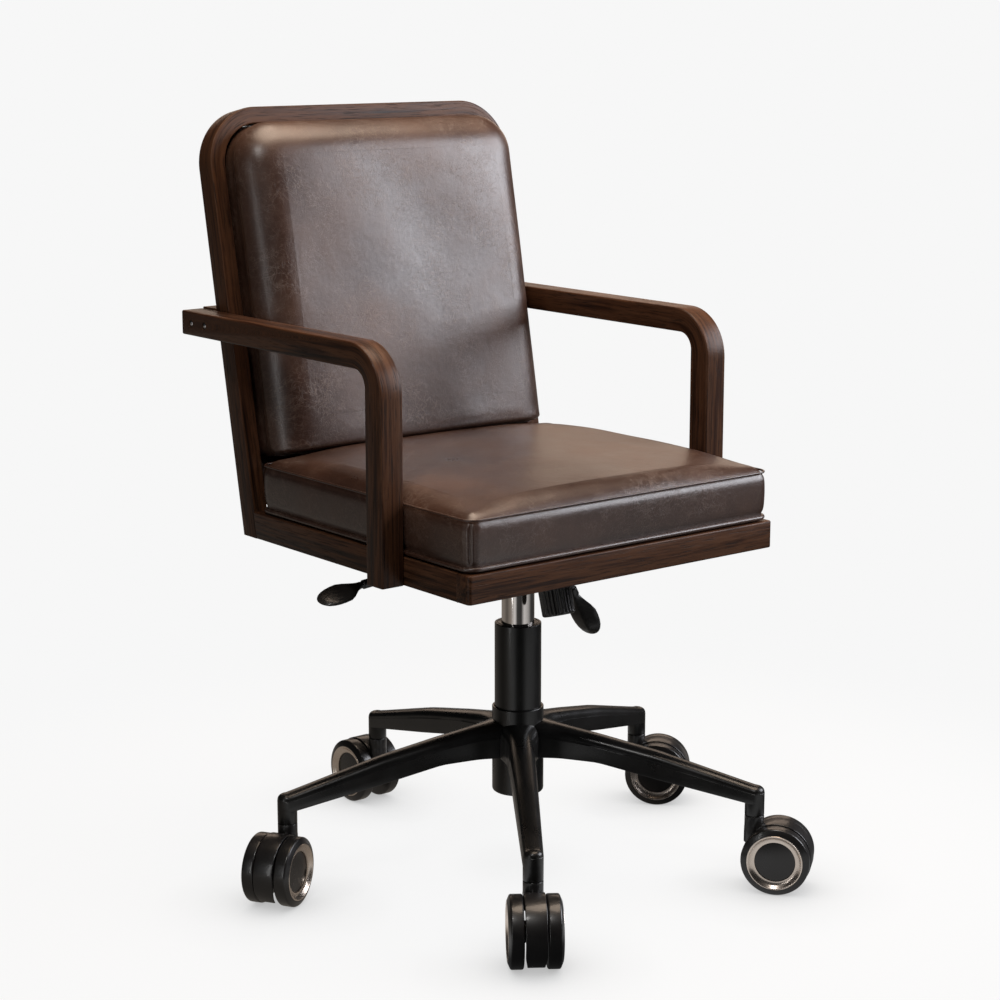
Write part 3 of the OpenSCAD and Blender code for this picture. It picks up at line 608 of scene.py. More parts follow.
def arm_section(half, top, low):
    """Half of an arm's outline from the middle of its top down one side to the middle of its
    underside: a flattened arch (an ellipse of power 2.3) over an upright side, with a small
    rounding below. The arch takes the upper 38% of the height."""
    arch = 0.38 * (top - low)
    t = np.radians(np.linspace(0, 90, 11))
    u_arch = np.sin(t) ** (2 / 2.3)
    v_arch = np.cos(t) ** (2 / 2.3)
    u = half[..., None] * u_arch * 0.985
    v = (top - arch)[..., None] + arch[..., None] * v_arch
    side_v = (top - arch)[..., None] - (top - low - arch - 1.2)[..., None] * np.array([0.02, 0.5, 1.0])
    side_u = half[..., None] + np.zeros(3)
    rim = np.radians([30, 60, 90])
    rim_u = half[..., None] - 1.2 * (1 - np.cos(rim))
    rim_v = low[..., None] + 1.2 * (1 - np.sin(rim))
    u = np.concatenate([u, side_u, rim_u, np.zeros(half.shape + (1,))], -1)
    v = np.concatenate([v, side_v, rim_v, low[..., None]], -1)
    return u, v


def base_arm(turn):
    """One arm: mirrored half sections lofted out to the stem, closed there by turning the last
    half section through a half circle about the stem, over a round post."""
    out, across = np.array([math.cos(turn), math.sin(turn), 0]), np.array([-math.sin(turn), math.cos(turn), 0])
    r = np.r_[np.linspace(20, 60, 12), np.linspace(66, 250, 24), np.linspace(256, STEM_R, 8)]
    top, low = arm_heights(r)
    u, v = arm_section(arm_half_width(r), top, low)
    n = u.shape[1]
    u, v = np.hstack([-u[:, :0:-1], u[:, :-1]]), np.hstack([v[:, :0:-1], v[:, :-1]])
    points = out * r[:, None, None] + across * u[..., None] + Z * v[..., None]
    rows, cols = u.shape
    body = (points.reshape(-1, 3), quads(rows, cols), np.zeros((rows * cols, 3)))
    end_u, end_v = arm_section(*(np.array(h[-1]) for h in (arm_half_width(r), top, low)))
    swing = np.radians(np.linspace(-90, 90, 33))
    fan = (out * STEM_R + Z * end_v[:, None, None]
           + end_u[:, None, None] * (np.cos(swing)[:, None] * out + np.sin(swing)[:, None] * across))
    cap = (fan.reshape(-1, 3), quads(n, 33, wrap=False), np.zeros((n * 33, 3)))
    stem = out * STEM_R
    post = fillet([(0, post_seam), (POST_R, post_seam), (POST_R, post_seam + 20), (0, post_seam + 20)],
                  [0, 0.8, 0, 0], 3, closed=False)
    return together(body, cap, turned(post, stem, steps=64))


def make_base():
    """Five arms round a turned hub with a thin lip and a rounded lower edge."""
    hub_r = stand_r + HUB_WALL
    hub = fillet([(stand_r + 0.4, hub_top - 8), (stand_r + 0.4, hub_top), (hub_r, hub_top),
                  (hub_r, hub_low), (0, hub_low)], [0, 0.5, 1.0, 3.5, 0], 4, closed=False)
    arms = [base_arm(FIRST_ARM + 2 * math.pi * k / ARMS) for k in range(ARMS)]
    make("star_base_casting", together(*arms, turned(hub)), base_paint, "base", "base_black", ["star_base"], 28)


def make_column():
    """Turned tubes: the black stand with a chamfered rim, its guide bush and the chrome cylinder."""
    bush_out, bush_in, bush_len = stand_r - 3.9, gas_r + 0.05, 70
    low = corner("stand_tube", False)[2]
    rim = fillet([(0, low), (stand_r, low), (stand_r, stand_top), (bush_out + 0.05, stand_top),
                  (bush_out + 0.05, stand_top - bush_len)], [0, 1, 1.1, 0.4, 0], 4, closed=False)
    make("stand_tube_turned", turned(rim, steps=128), base_paint, "base", "base_black", ["stand_tube"])
    bush = loop(fillet([(bush_in, stand_top - bush_len), (bush_in, stand_top), (bush_out, stand_top),
                        (bush_out, stand_top - bush_len)], [0, 0.7, 0.5, 0], 3))
    make("guide_bush_turned", turned(bush, steps=128), handle_plastic, "base", "control_plastic", ["guide_bush"])
    gas_low, gas_top = corner("gas_cylinder", False)[2], corner("gas_cylinder", True)[2]
    tube = loop(fillet([(4.3, gas_low), (gas_r, gas_low), (gas_r, gas_top), (4.3, gas_top)], [0, 1, 1.5, 0], 4))
    make("gas_cylinder_chrome", turned(tube, steps=128), chrome, "mechanism", "column_chrome", ["gas_cylinder"])


make_base()
make_column()

# ---------- controls ----------

KNOB_LEAN = math.radians(16)
FLUTES = 24


def make_knob():
    """A fluted grip: r = R(h) - a(h) * (half a cosine wave round the axis, sharpened), the flutes
    fading out before both rounded ends."""
    low, high = corner("tension_knob", False), corner("tension_knob", True)
    radius, length = high[0], 38.0
    axis = np.array([0, math.sin(KNOB_LEAN), math.cos(KNOB_LEAN)])
    foot = np.array([0, low[1] + radius * math.cos(KNOB_LEAN), low[2] + radius * math.sin(KNOB_LEAN)])
    profile = fillet([(0, 2.0), (radius - 6, 2.0), (radius - 5.2, 0), (radius, 0), (radius, length),
                      (radius - 3, length), (radius - 3, length - 3), (0, length - 3)],
                     [0, 0.6, 0.8, 3, 2, 0.6, 0.4, 0], 5, closed=False)
    heights = np.linspace(3.2, length - 2.2, 14)
    wall = np.column_stack([np.full(14, radius), heights])
    split = int(np.argmax(profile[:, 1] > length / 2))
    profile = np.vstack([profile[:split], wall[1:-1], profile[split:]])
    points, faces, grain = turned(profile, (0, 0, 0), Z, FLUTES * 12)
    turn = np.arctan2(points[:, 1], points[:, 0])
    h = points[:, 2]
    rim = (np.hypot(points[:, 0], points[:, 1]) > radius - 2.6).astype(float)
    fade = ease((h - 0.5) / 4) * ease((length - 1.0 - h) / 3) * rim
    groove = (0.5 + 0.5 * np.cos(FLUTES * turn)) ** 2
    points[:, :2] *= (1 - 1.3 * groove * fade / radius)[:, None]
    tilt = np.array([X, np.cross(axis, X), axis])
    make("tension_grip", (foot + points @ tilt, faces, grain), handle_plastic, "knob", "control_plastic",
         ["tension_knob"], 50)


def leaf(root, along, wide, length, reach, neck):
    """A finger paddle: rings of half width w(s) and half thickness h(s) about a straight spine.
    The upper face mixes a round (root of 1 - u^2) with a ridge (1 - |u|)."""
    up = np.cross(along, wide)
    s = np.r_[0, 0.05, 0.12, 0.2, 0.3, 0.42, 0.55, 0.68, 0.79, 0.88, 0.94, 0.975, 0.993, 1.0]
    swell = np.where(s < 0.45, ease(s / 0.45), np.sqrt(1 - np.clip((s - 0.45) / 0.55, 0, 1) ** 2.6))
    half = np.where(s < 0.45, neck + (reach - neck) * swell, reach * swell)
    thick = np.interp(s, [0, 0.2, 0.6, 0.9, 1], [neck, 5.2, 5.6, 4.2, 0.0]) * np.where(s > 0.88, np.sqrt(
        np.clip(1 - ((s - 0.88) / 0.12) ** 2, 0, 1)), 1)
    t = np.radians(np.arange(0, 360, 9))
    u = np.sign(np.cos(t)) * np.abs(np.cos(t)) ** 0.9
    round_part, ridge_part = np.sqrt(np.clip(1 - u * u, 0, 1)), 1 - np.abs(u)
    ridge = ease(s / 0.15)[:, None] * 0.45
    v = np.sign(np.sin(t)) * np.where(np.sin(t) > 0, (1 - ridge) * round_part + ridge * ridge_part, 0.85 * round_part)
    points = (root + along * (s * length)[:, None, None] + wide * (half[:, None] * u)[..., None]
              + up * (thick[:, None] * v)[..., None])
    n = len(t)
    faces = quads(len(s), n) + [list(range(n))]
    return points.reshape(-1, 3), faces, np.zeros((len(s) * n, 3))


def rod(start, end, radius, *collars):
    """A round rod with collars, each given as (distance along, radius, length), edges rounded."""
    length = np.linalg.norm(end - start)
    profile = [(0, 0), (radius, 0)]
    for at, wide, run in collars:
        profile += [(radius, at), (wide, at), (wide, at + run), (radius, at + run)]
    profile += [(radius, length), (0, length)]
    radii = [0] + [0.6] * (len(profile) - 2) + [0]
    return turned(fillet(profile, radii, 3, closed=False), start, (end - start) / length, 40)


LIFT_TWIST, LOCK_TWIST = math.radians(18), math.radians(27)


def make_levers():
    """The height lever droops 5 degrees to its paddle at the sitter's right; the tilt-lock lever
    comes out of the housing and turns 61 degrees down."""
    plate_z = corner("seat_plate", True)[2] - 4
    drop, paddle_drop = math.radians(5), math.radians(12)
    pivot = np.array([-44, 50, plate_z - 32.5])
    along = np.array([-math.cos(drop), 0, -math.sin(drop)])
    tip = pivot + along * 152
    paddle_along = np.array([-math.cos(paddle_drop), 0, -math.sin(paddle_drop)])
    wide = math.cos(LIFT_TWIST) * Y + math.sin(LIFT_TWIST) * np.cross(paddle_along, Y) * -1
    arm = rod(pivot, tip, 4, (132, 5.4, 14))
    boss = turned(fillet([(0, -6), (7, -6), (7, 6), (0, 6)], [0, 0.8, 0.8, 0], 3, closed=False), pivot, Y, 48)
    pin_top = corner("release_pin", True)[2] + 0.4
    cross = bar([(-45, 50, pin_top + 2), (0, 50, pin_top + 2)], Y, Z, 6, 2, 0.6, 0.6)
    reach = bar([(0, 56, pin_top + 2), (0, -8, pin_top + 2)], X, Z, 7, 2, 0.6, 0.6)
    lever = together(arm, boss, cross, reach, leaf(tip - paddle_along * 3, paddle_along, wide, 59, 18, 4.4))
    make("height_lever_handle", lever, handle_plastic, "height_paddle", "control_plastic", ["height_lever"], 40)

    turn = math.radians(61)
    elbow = np.array([63.0, -5, plate_z - 50.5])
    down = np.array([math.cos(turn), 0, -math.sin(turn)])
    inner = np.array([44.0, -5, plate_z - 50.5])
    bend = turned([(4.6 * math.sin(a), -4.6 * math.cos(a)) for a in np.radians(np.linspace(0, 180, 13))],
                  elbow, down, 40)
    paddle_root = elbow + down * 43
    wide = -math.cos(LOCK_TWIST) * Y + math.sin(LOCK_TWIST) * np.array([math.sin(turn), 0, math.cos(turn)])
    lever = together(rod(inner, elbow, 4, (1, 6, 6)), bend, rod(elbow, elbow + down * 46, 4, (34, 5.4, 10)),
                     leaf(paddle_root, down, wide, 63, 18, 4.4))
    make("lock_lever_handle", lever, handle_plastic, "lock_paddle", "control_plastic", ["lock_lever"], 40)


make_knob()
make_levers()

# ---------- castors ----------

TRAILS = [-125.5, -52.2, -46.9, 90.3, -148.8]
TRAIL = 28.4
WHEEL_R = corner("wheel_left_1", True)[2] / 2
WHEEL_IN, TREAD_HALF = 12.8, 27.0
FACE_OUT, CAP_FLOOR = 30.0, 22.0
RING_R, RING_IN = 33.0, 24.0
AXLE_R = 5.0
HOOD_HALF, HOOD_R = 11.9, WHEEL_R + 1


def castor_axes(k):
    """Origin on castor k's stem at floor level, X along its trail, Y along its axle."""
    turn, heading = FIRST_ARM + 2 * math.pi * (k - 1) / ARMS, math.radians(TRAILS[k - 1])
    along = np.array([math.cos(heading), math.sin(heading), 0])
    return np.array([math.cos(turn), math.sin(turn), 0]) * STEM_R, np.array([along, np.cross(Z, along), Z])


def hood_shell():
    """A curved guard between the wheels: a rounded cross-section carried round the axle from
    behind the top to a thin tip low in front, its thickness growing with an eased curve."""
    angles = np.radians(np.linspace(-47, 128, 57))
    t = (angles - angles[0]) / (angles[-1] - angles[0])
    thick = 1.5 + 2.6 * ease(t / 0.45)
    half = HOOD_HALF * (0.82 + 0.18 * ease(t / 0.16))
    spoke = np.cos(angles)[:, None] * X + np.sin(angles)[:, None] * Z
    path = TRAIL * X + WHEEL_R * Z + spoke * (HOOD_R - thick / 2)[:, None]
    return bar(path, Y, spoke, half, thick / 2, 1.0, 0.8)


def hood_body():
    """The hood: shell, central web, axle boss and the collar on the stem, the collar flared
    where it meets the shell."""
    axle = TRAIL * X + WHEEL_R * Z
    angles = np.radians(np.linspace(-40, 166, 40))
    fan = np.column_stack([np.cos(angles), np.sin(angles)]) * (HOOD_R - 3.6)
    web = prism(np.vstack([[0, 0], fan]), -4, 4, 0.8, (X, Z, -Y), axle)
    boss = turned(fillet([(0, -12.4), (12, -12.4), (12, 12.4), (0, 12.4)], [0, 0.8, 0.8, 0], 3, closed=False),
                  axle, Y, 48)
    seam = post_seam - 0.4
    collar = fillet([(0, 52), (15.5, 56), (13.2, 66), (POST_R, 75), (POST_R, seam), (0, seam)],
                    [0, 2, 6, 12, 0.8, 0], 4, closed=False)
    collar = np.minimum(collar, [[HOOD_HALF, seam]])
    return together(hood_shell(), web, boss, turned(collar, steps=64))


def tyre():
    """Flat tread with rounded edges, a bevelled shoulder, and a recess for the cap."""
    profile = [(AXLE_R + 0.05, WHEEL_IN), (WHEEL_R, WHEEL_IN), (WHEEL_R, TREAD_HALF), (RING_R + 0.7, FACE_OUT),
               (RING_R + 0.1, FACE_OUT), (RING_R + 0.1, CAP_FLOOR), (AXLE_R + 0.05, CAP_FLOOR)]
    return loop(fillet(profile, [0, 2.2, 2.6, 0.35, 0.1, 0, 0], 5))


def cap_ring():
    """A bright ring: narrow raised lip, then a hollow bevel down to the disc."""
    t = np.linspace(0, 1, 9)
    inner_lip = RING_R - 1.6
    bevel = np.column_stack([inner_lip - (inner_lip - RING_IN) * t,
                             FACE_OUT - 4.0 * t - 1.1 * np.sin(math.pi * t)])
    lip = [(RING_R, CAP_FLOOR), (RING_R, FACE_OUT - 0.2), (RING_R - 0.3, FACE_OUT + 0.2),
           (RING_R - 1.2, FACE_OUT + 0.2)]
    return loop(np.vstack([lip, bevel, [(RING_IN, CAP_FLOOR)]]))


def cap_disc():
    """A flat black disc with a softened edge and a faint central dimple."""
    return fillet([(0, CAP_FLOOR), (RING_IN - 0.05, CAP_FLOOR), (RING_IN - 0.05, CAP_FLOOR + 3), (0, CAP_FLOOR + 3)],
                  [0, 0, 0.7, 0], 4, closed=False)


def make_castors():
    hood = hood_body()
    profiles = {"tyre": (tyre(), moulded, "castor_plastic"), "ring": (cap_ring(), champagne, "wheel_trim"),
                "disc": (cap_disc(), disc_plastic, "castor_plastic")}
    for k in range(1, ARMS + 1):
        origin, axes = castor_axes(k)
        make(f"castor_{k}_hood", (origin + hood[0] @ axes, *hood[1:]), moulded, f"castor_{k}",
             "castor_plastic", [f"castor_hood_{k}"], 40)
        centre = origin + (TRAIL * X + WHEEL_R * Z) @ axes
        for side, hand in ((1, "left"), (-1, "right")):
            nodes = {"tyre": [f"wheel_{hand}_{k}"], "ring": [f"wheel_cap_{hand}_{k}"], "disc": []}
            for part, (profile, finish, slot) in profiles.items():
                make(f"castor_{k}_{hand}_{part}", turned(profile, centre, side * axes[1]), finish,
                     f"wheel_{hand}_{k}", slot, nodes[part], 30)


make_castors()

# ---------- upholstery ----------

NEAR = np.array([0, 0.045, 0.1, 0.17, 0.27, 0.4, 0.58, 0.79])


def pad_rim(half, radii, cells):
    """Points, outward normals and corner nearness round a rounded rectangle. It starts at the
    middle of a corner's arc, C + R n(angle), and runs arc, straight, arc for each side."""
    signs = np.array([(1, -1), (1, 1), (-1, 1), (-1, -1)], float)
    points, normals, counts = [], [], []
    for side in range(4):
        r0, r1 = radii[side], radii[(side + 1) % 4]
        c0, c1 = signs[side] * (half - r0), signs[(side + 1) % 4] * (half - r1)
        a0, a1 = np.radians(90 * side - 45 + 45 * NEAR), np.radians(90 * side + 45 - 45 * NEAR[:0:-1])
        facing = np.array([math.cos(math.pi * side / 2), math.sin(math.pi * side / 2)])
        n0, n1 = (np.column_stack([np.cos(a), np.sin(a)]) for a in (a0, a1))
        t = np.linspace(0, 1, cells[side % 2] + 1)[:, None]
        line = (c0 + r0 * facing) * (1 - t) + (c1 + r1 * facing) * t
        points += [c0 + r0 * n0, line, c1 + r1 * n1]
        normals += [n0, np.repeat(facing[None], len(t), 0), n1]
        counts.append(len(n0) + len(t) + len(n1))
    return np.vstack(points), np.vstack(normals), counts


def patch(rim, counts):
    """A sheet over a four-sided closed rim: the sum of the two blends between opposite sides
    less the blend of the four corners (a Coons patch)."""
    at = np.r_[0, np.cumsum(counts)]
    right, rear, left, front = (rim[np.arange(at[k], at[k + 1] + 1) % len(rim)] for k in range(4))
    rear, left = rear[::-1], left[::-1]
    u = np.linspace(0, 1, len(front))[None, :, None]
    v = np.linspace(0, 1, len(right))[:, None, None]
    sheet = (1 - v) * front[None] + v * rear[None] + (1 - u) * left[:, None] + u * right[:, None]
    sheet -= ((1 - u) * (1 - v) * front[0] + u * (1 - v) * front[-1]
              + (1 - u) * v * rear[0] + u * v * rear[-1])
    return sheet


def pad(rim, normals, counts, rows, crown):
    """A closed cushion: rings P - n*inset at each row's height, with a flat sheet under the
    first ring and a sheet raised to crown(x, y) over the last."""
    rings = []
    for inset, height in rows:
        flat = rim - normals * np.broadcast_to(inset, len(rim))[:, None]
        h = height(flat, inset) if callable(height) else np.broadcast_to(height, len(rim))
        rings.append(np.column_stack([flat, h]))
    under, over = patch(rings[0], counts), patch(rings[-1], counts)
    over[1:-1, 1:-1, 2] = crown(over[1:-1, 1:-1, :2])
    n, (tall, wide) = len(rim), under.shape[:2]
    points = np.vstack(rings + [under.reshape(-1, 3), over.reshape(-1, 3)])
    first = len(rings) * n
    faces = (quads(len(rings), n) + quads(tall, wide, False, first)
             + quads(tall, wide, False, first + tall * wide))
    return points, faces, np.zeros_like(points)


def fill_with_air(piece, held, cap, panel):
    """Cloth with inner pressure and no gravity, run for 20 frames. held(points) marks the sewn
    vertices, which stay put. The rise D tanh(d/D) across the sewn panel is then fitted, by least
    squares, with Legendre products P_i(u) P_j(v) under a window that is zero at the seam.
    panel(points) gives (u, v, window) and the direction in which the panel rises."""
    mesh = piece.data
    n = len(mesh.vertices)
    rest = np.empty(n * 3)
    mesh.vertices.foreach_get("co", rest)
    rest = rest.reshape(-1, 3)
    pins = np.nonzero(held(rest / MM))[0].tolist()
    group = piece.vertex_groups.new(name="sewn")
    group.add(pins, 1.0, "REPLACE")
    cloth = piece.modifiers.new("air", "CLOTH")
    cloth.settings.quality = 5
    cloth.settings.mass = 0.3
    cloth.settings.tension_stiffness = cloth.settings.compression_stiffness = 15
    cloth.settings.bending_stiffness = 0.5
    cloth.settings.use_pressure = True
    cloth.settings.uniform_pressure_force = 4
    cloth.settings.vertex_group_mass = "sewn"
    cloth.settings.effector_weights.gravity = 0
    cloth.collision_settings.use_collision = False
    cloth.collision_settings.use_self_collision = False
    scene.frame_start, scene.frame_end = 1, 20
    for frame_number in range(1, 21):
        scene.frame_set(frame_number)
    seen = piece.evaluated_get(bpy.context.evaluated_depsgraph_get()).data
    blown = np.empty(n * 3)
    seen.vertices.foreach_get("co", blown)
    piece.modifiers.clear()
    piece.vertex_groups.clear()
    scene.frame_set(1)
    u, v, window, direction = panel(rest / MM)
    limit = cap * MM
    rise = limit * np.tanh((blown.reshape(-1, 3) - rest) @ direction / limit)
    basis = np.polynomial.legendre.legvander2d(u, v, [5, 5]) * window[:, None]
    on = window > 0.01
    parts = np.linalg.lstsq(basis[on], rise[on] * window[on], rcond=None)[0]
    mesh.vertices.foreach_set("co", (rest + (basis @ parts)[:, None] * direction).ravel())
    mesh.update()


def shape_again(piece, change):
    """Moves a piece's vertices: change(points in mm) gives their new places."""
    co = np.empty(len(piece.data.vertices) * 3)
    piece.data.vertices.foreach_get("co", co)
    piece.data.vertices.foreach_set("co", (change(co.reshape(-1, 3) / MM) * MM).ravel())
    piece.data.update()


def waves(points, reach, height, seed):
    """Soft unevenness: a sum of nine plane waves with random directions and phases."""
    rng = np.random.default_rng(seed)
    ways = unit(rng.normal(size=(9, 3))) * 2 * math.pi / (reach * rng.uniform(0.7, 1.8, 9)[:, None])
    return height * np.sin(points @ ways.T + rng.uniform(0, 6.28, 9)).sum(1) / 3


def subdivided(piece):
    sub = piece.modifiers.new("finer", "SUBSURF")
    sub.levels = sub.render_levels = 1
    fixed(piece, 60)


def corner_room(rim, normals, half, radius, limit, reach=55):
    """How far each rim point may be moved inwards: the full amount along the sides, eased down
    to just under the corner's radius at the corners."""
    run = np.where(np.abs(normals[:, 0]) > 0.999, half[1] - np.abs(rim[:, 1]),
                   np.where(np.abs(normals[:, 1]) > 0.999, half[0] - np.abs(rim[:, 0]), radius)) - radius
    return 0.9 * radius + (limit - 0.9 * radius) * ease(run / reach)


SEAT_CORNER = 16.0
SEAT_SEAM = 57.0


def make_seat():
    """A boxed seat cushion: upright sides sewn to a crowned top with a piped seam, a lower welt,
    and a boxing seam at each corner. The top rises by 1 - (1 - s)^3, s running inwards from the
    seam as 1 - ((1 - sx)^p + (1 - sy)^p)^(1/p), over a low dome."""
    low, high = corner("seat_cushion", False), corner("seat_cushion", True)
    centre, half = (low + high)[:2] / 2, (high - low)[:2] / 2
    z0 = low[2]
    rim, normals, counts = pad_rim(half, [SEAT_CORNER] * 4, (58, 62))
    side = [(12, 0), (9, 0), (4, 0), (2.6, 1.5), (2.4, 4), (2.5, 8), (0.6, 11), (-0.4, 17), (-0.8, 24),
            (-1.0, 31), (-0.9, 38), (-0.6, 45), (0.3, 50), (2.2, 53.5), (3.4, 56)]
    rise, dome, reach, seam = 11.5, 5.5, 34.0, 3.4
    room = corner_room(rim, normals, half, SEAT_CORNER, reach)

    def crown(flat):
        t = 1 - np.clip((half - np.abs(flat) - seam) / (reach - seam), 0, 1)
        s = np.clip(1 - (t ** 4.6).sum(-1) ** (1 / 4.6), 0, 1)
        bow = (1 - (flat[..., 0] / half[0]) ** 2) * (1 - (flat[..., 1] / half[1]) ** 2)
        return SEAT_SEAM - 1 + rise * (1 - (1 - s) ** 3) + dome * bow

    rows = side + [(seam + (room - seam) * t, lambda flat, _: crown(flat))
                   for t in (0.06, 0.14, 0.24, 0.37, 0.52, 0.68, 0.84, 1)]
    points, faces, grain = pad(rim, normals, counts, rows, crown)
    points = points + [*centre, z0]
    seat = make("seat_pad", (points, faces, grain), leather, "seat", "leather", ["seat_cushion"], 60)
    sewn = z0 + SEAT_SEAM - 1

    def panel(p):
        flat = p[:, :2] - centre
        window = ease((half - np.abs(flat) - seam) / 30).prod(1) * (p[:, 2] > sewn + 0.1)
        return *(flat / half).T, window, Z

    fill_with_air(seat, lambda p: (p[:, 2] < z0 + 8.5) | (np.abs(p[:, 2] - sewn) < 0.4), 4.5, panel)
    subdivided(seat)

    def settle(p):
        flat = p[:, :2] - centre
        bend = np.abs(flat) - (half - SEAT_CORNER)
        at_corner = (bend > 0).all(1)
        turn = np.arctan2(bend[:, 1], bend[:, 0]) - math.pi / 4
        away = np.where(at_corner, np.abs(turn) * SEAT_CORNER, 99)
        upright = ease((p[:, 2] - z0 - 9) / 3) * ease((z0 + SEAT_SEAM - 4 - p[:, 2]) / 3)
        groove = upright * (0.9 * np.exp(-(away / 1.0) ** 2) - 0.45 * np.exp(-((away - 3.4) / 1.5) ** 2))
        out = np.where(at_corner[:, None], unit(np.maximum(bend, 1e-6)) * np.sign(flat), 0)
        p = p.copy()
        p[:, :2] -= out * groove[:, None]
        above = ease((p[:, 2] - z0 - SEAT_SEAM) / 8)
        p[:, 2] += above * waves(p * [1, 1, 0.2], 120, 0.35, 5)
        limit = half_w - 0.6
        p[:, 0] = np.clip(p[:, 0], -limit, limit)
        return p

    shape_again(seat, settle)
    ring = lambda inset, h: np.column_stack([rim - normals * inset + centre, np.full(len(rim), z0 + h)])
    make("seat_piping", cord(ring(0.6, 57.0), 1.3), leather, "seat", "leather", crease=80)
    make("seat_welt", cord(ring(0.9, 3.2), 2.6, 12), leather, "seat", "leather", crease=80)


def make_back():
    """The back cushion: an upright band to a plain seam, then a full rounded front whose rounding
    is wide at the sides and top and small at the foot."""
    half_x = half_w - BACK_FACE - 1.5
    foot_up, top_up = 89.0, back_len - BACK_FACE - 1.5
    half = np.array([half_x, (top_up - foot_up) / 2])
    middle = (top_up + foot_up) / 2
    top_bend, foot_bend = BACK_BEND - BACK_FACE / 2 - 1.5, 14.0
    rim, normals, counts = pad_rim(half, [foot_bend, top_bend, top_bend, foot_bend], (66, 60))
    flat_at, back_at, seam_at, face_at = 6.5, 9.0, 46.5, 84.0
    reach, foot_reach, depth, dome = 44.0, 9.0, 36.0, 1.6

    def face(flat):
        inwards = half - np.abs(flat)
        past = np.maximum(top_bend - inwards, 0)
        upper = top_bend - np.hypot(past[..., 0], past[..., 1]) + np.maximum(
            np.minimum(inwards[..., 0], inwards[..., 1]) - top_bend, 0)
        side = 1 - np.clip(inwards[..., 0] / reach, 0, 1)
        foot = 1 - np.clip((flat[..., 1] + half[1]) / foot_reach, 0, 1)
        s = np.where(flat[..., 1] > 0, np.clip(upper / reach, 0, 1),
                     np.clip(1 - (side ** 2.5 + foot ** 2.5) ** 0.4, 0, 1))
        bow = (1 - (flat[..., 0] / half[0]) ** 2) * (1 - (flat[..., 1] / half[1]) ** 2)
        return face_at - depth + depth * (1 - (1 - s) ** 2.5) ** 0.62 + dome * bow

    waist = 0.6 + 3.2 * np.abs(normals[:, 0])
    rows = [(11, flat_at), (8, flat_at), (2, flat_at), (0.2, back_at)]
    rows += [(0.2 + waist * math.sin(math.pi * t) ** 0.8 if t < 1 else 0.2, back_at + (seam_at - 1.5 - back_at) * t)
             for t in (0.12, 0.28, 0.45, 0.62, 0.78, 0.9, 1)]
    rows += [(1.1, seam_at), (0.1, seam_at + 1.2)]
    room = np.where(rim[:, 1] > 0, reach, corner_room(rim, normals, half, foot_bend, reach))
    rows += [(0.02 + room * (1 - math.cos(f)), lambda flat, _: face(flat))
             for f in np.radians([3, 9, 16, 24, 33, 42, 51, 61, 71, 80, 90])]
    points, faces, grain = pad(rim, normals, counts, rows, face)
    points = leaning(points[:, 0], points[:, 1] + middle, points[:, 2])
    back = make("back_pad", (points, faces, grain), leather, "seat", "leather", ["back_cushion"], 60)

    def local(p):
        off = p - [0, rear_y, rail_z]
        return off[:, 0], off @ UP_LEAN, off @ OUT_LEAN

    def panel(p):
        x, up, out = local(p)
        flat = np.column_stack([x, up - middle])
        window = ease((half - np.abs(flat)) / [45, 20]).prod(1) * (out > seam_at)
        return *(flat / half).T, window, OUT_LEAN

    fill_with_air(back, lambda p: (local(p)[2] < back_at + 1) | (np.abs(local(p)[2] - seam_at) < 0.5), 3.0, panel)
    subdivided(back)

    def settle(p):
        x, up, out = local(p)
        uneven = ease((out - seam_at - 4) / 20) * waves(p, 150, 0.4, 11)
        return leaning(np.clip(x, -half_x - 1.2, half_x + 1.2), up, out + uneven)

    shape_again(back, settle)
    return local


def make_back_panel():
    """The covered rear panel: a shallow crowned sheet with a welt round it, set in the loop."""
    half_x = half_w - BACK_FACE - 0.3
    foot_up, top_up = 36.5, back_len - BACK_FACE - 0.3
    half = np.array([half_x, (top_up - foot_up) / 2])
    middle = (top_up + foot_up) / 2
    rim, normals, counts = pad_rim(half, [10, 49.7, 49.7, 10], (40, 40))
    rows = [(6, -5.8), (1, -5.8), (0.2, -5.2), (0.2, -3.4), (1.5, -2.6), (3, -2.4), (5.5, -2.9),
            (8, -2.6), (16, -1.9), (26, -1.4)]
    bow = lambda p: -1.4 + 1.0 * (1 - (p[..., 0] / half[0]) ** 2) * (1 - (p[..., 1] / half[1]) ** 2)
    points, faces, grain = pad(rim, normals, counts, rows, bow)
    points = leaning(-points[:, 0], points[:, 1] + middle, -points[:, 2])
    make("back_cover", (points, faces, grain), leather, "seat", "leather", ["back_panel"], 60)


make_seat()
make_back()
make_back_panel()

# ---------- frame parts left as they are ----------

subparts = {part["node"]: part["material_slot"] for part in frame["record"]["subparts"]}
for name, node in frame["nodes"].items():
    node.data.materials.clear()
    node.data.materials.append(by_slot[subparts[name]])

# ---------- studio ----------

PALE = 0.93          # the backdrop's tone to the camera
FILL = 0.022         # and its strength to every other ray
# The floor's contact shadow is painted: ambient occlusion dims the floor's glow within this reach.
PAINTED_SHADOW_REACH = 0.12   # how far the floor's contact shade reaches, metres
FADE_FROM, FADE_TO = 0.45, 1.1
# painted reflections: the glow that glossy rays see on the floor, by compass angle from +X: (degrees, tone, warmth)
PAINTED_REFLECTION_BANDS = [(2, 0.30, 1), (30, 0.80, 0), (45, 0.06, 0), (75, 0.04, 0), (95, 0.70, 0), (125, 0.45, 0),
               (150, 0.05, 0), (185, 0.05, 0), (205, 0.30, 1), (228, 0.22, 1), (236, 0.9, 0), (243, 0.25, 1),
               (300, 0.24, 1), (330, 0.12, 1), (358, 0.28, 1)]


def ray_split(f, seen, unseen, output):
    """Camera rays see one shader and every other ray sees the other."""
    ray = f.node("LightPath", {})
    mix = f.node("MixShader", {0: ray.outputs["Is Camera Ray"], 1: unseen, 2: seen})
    f.node(output, {"Surface": mix.outputs[0]})


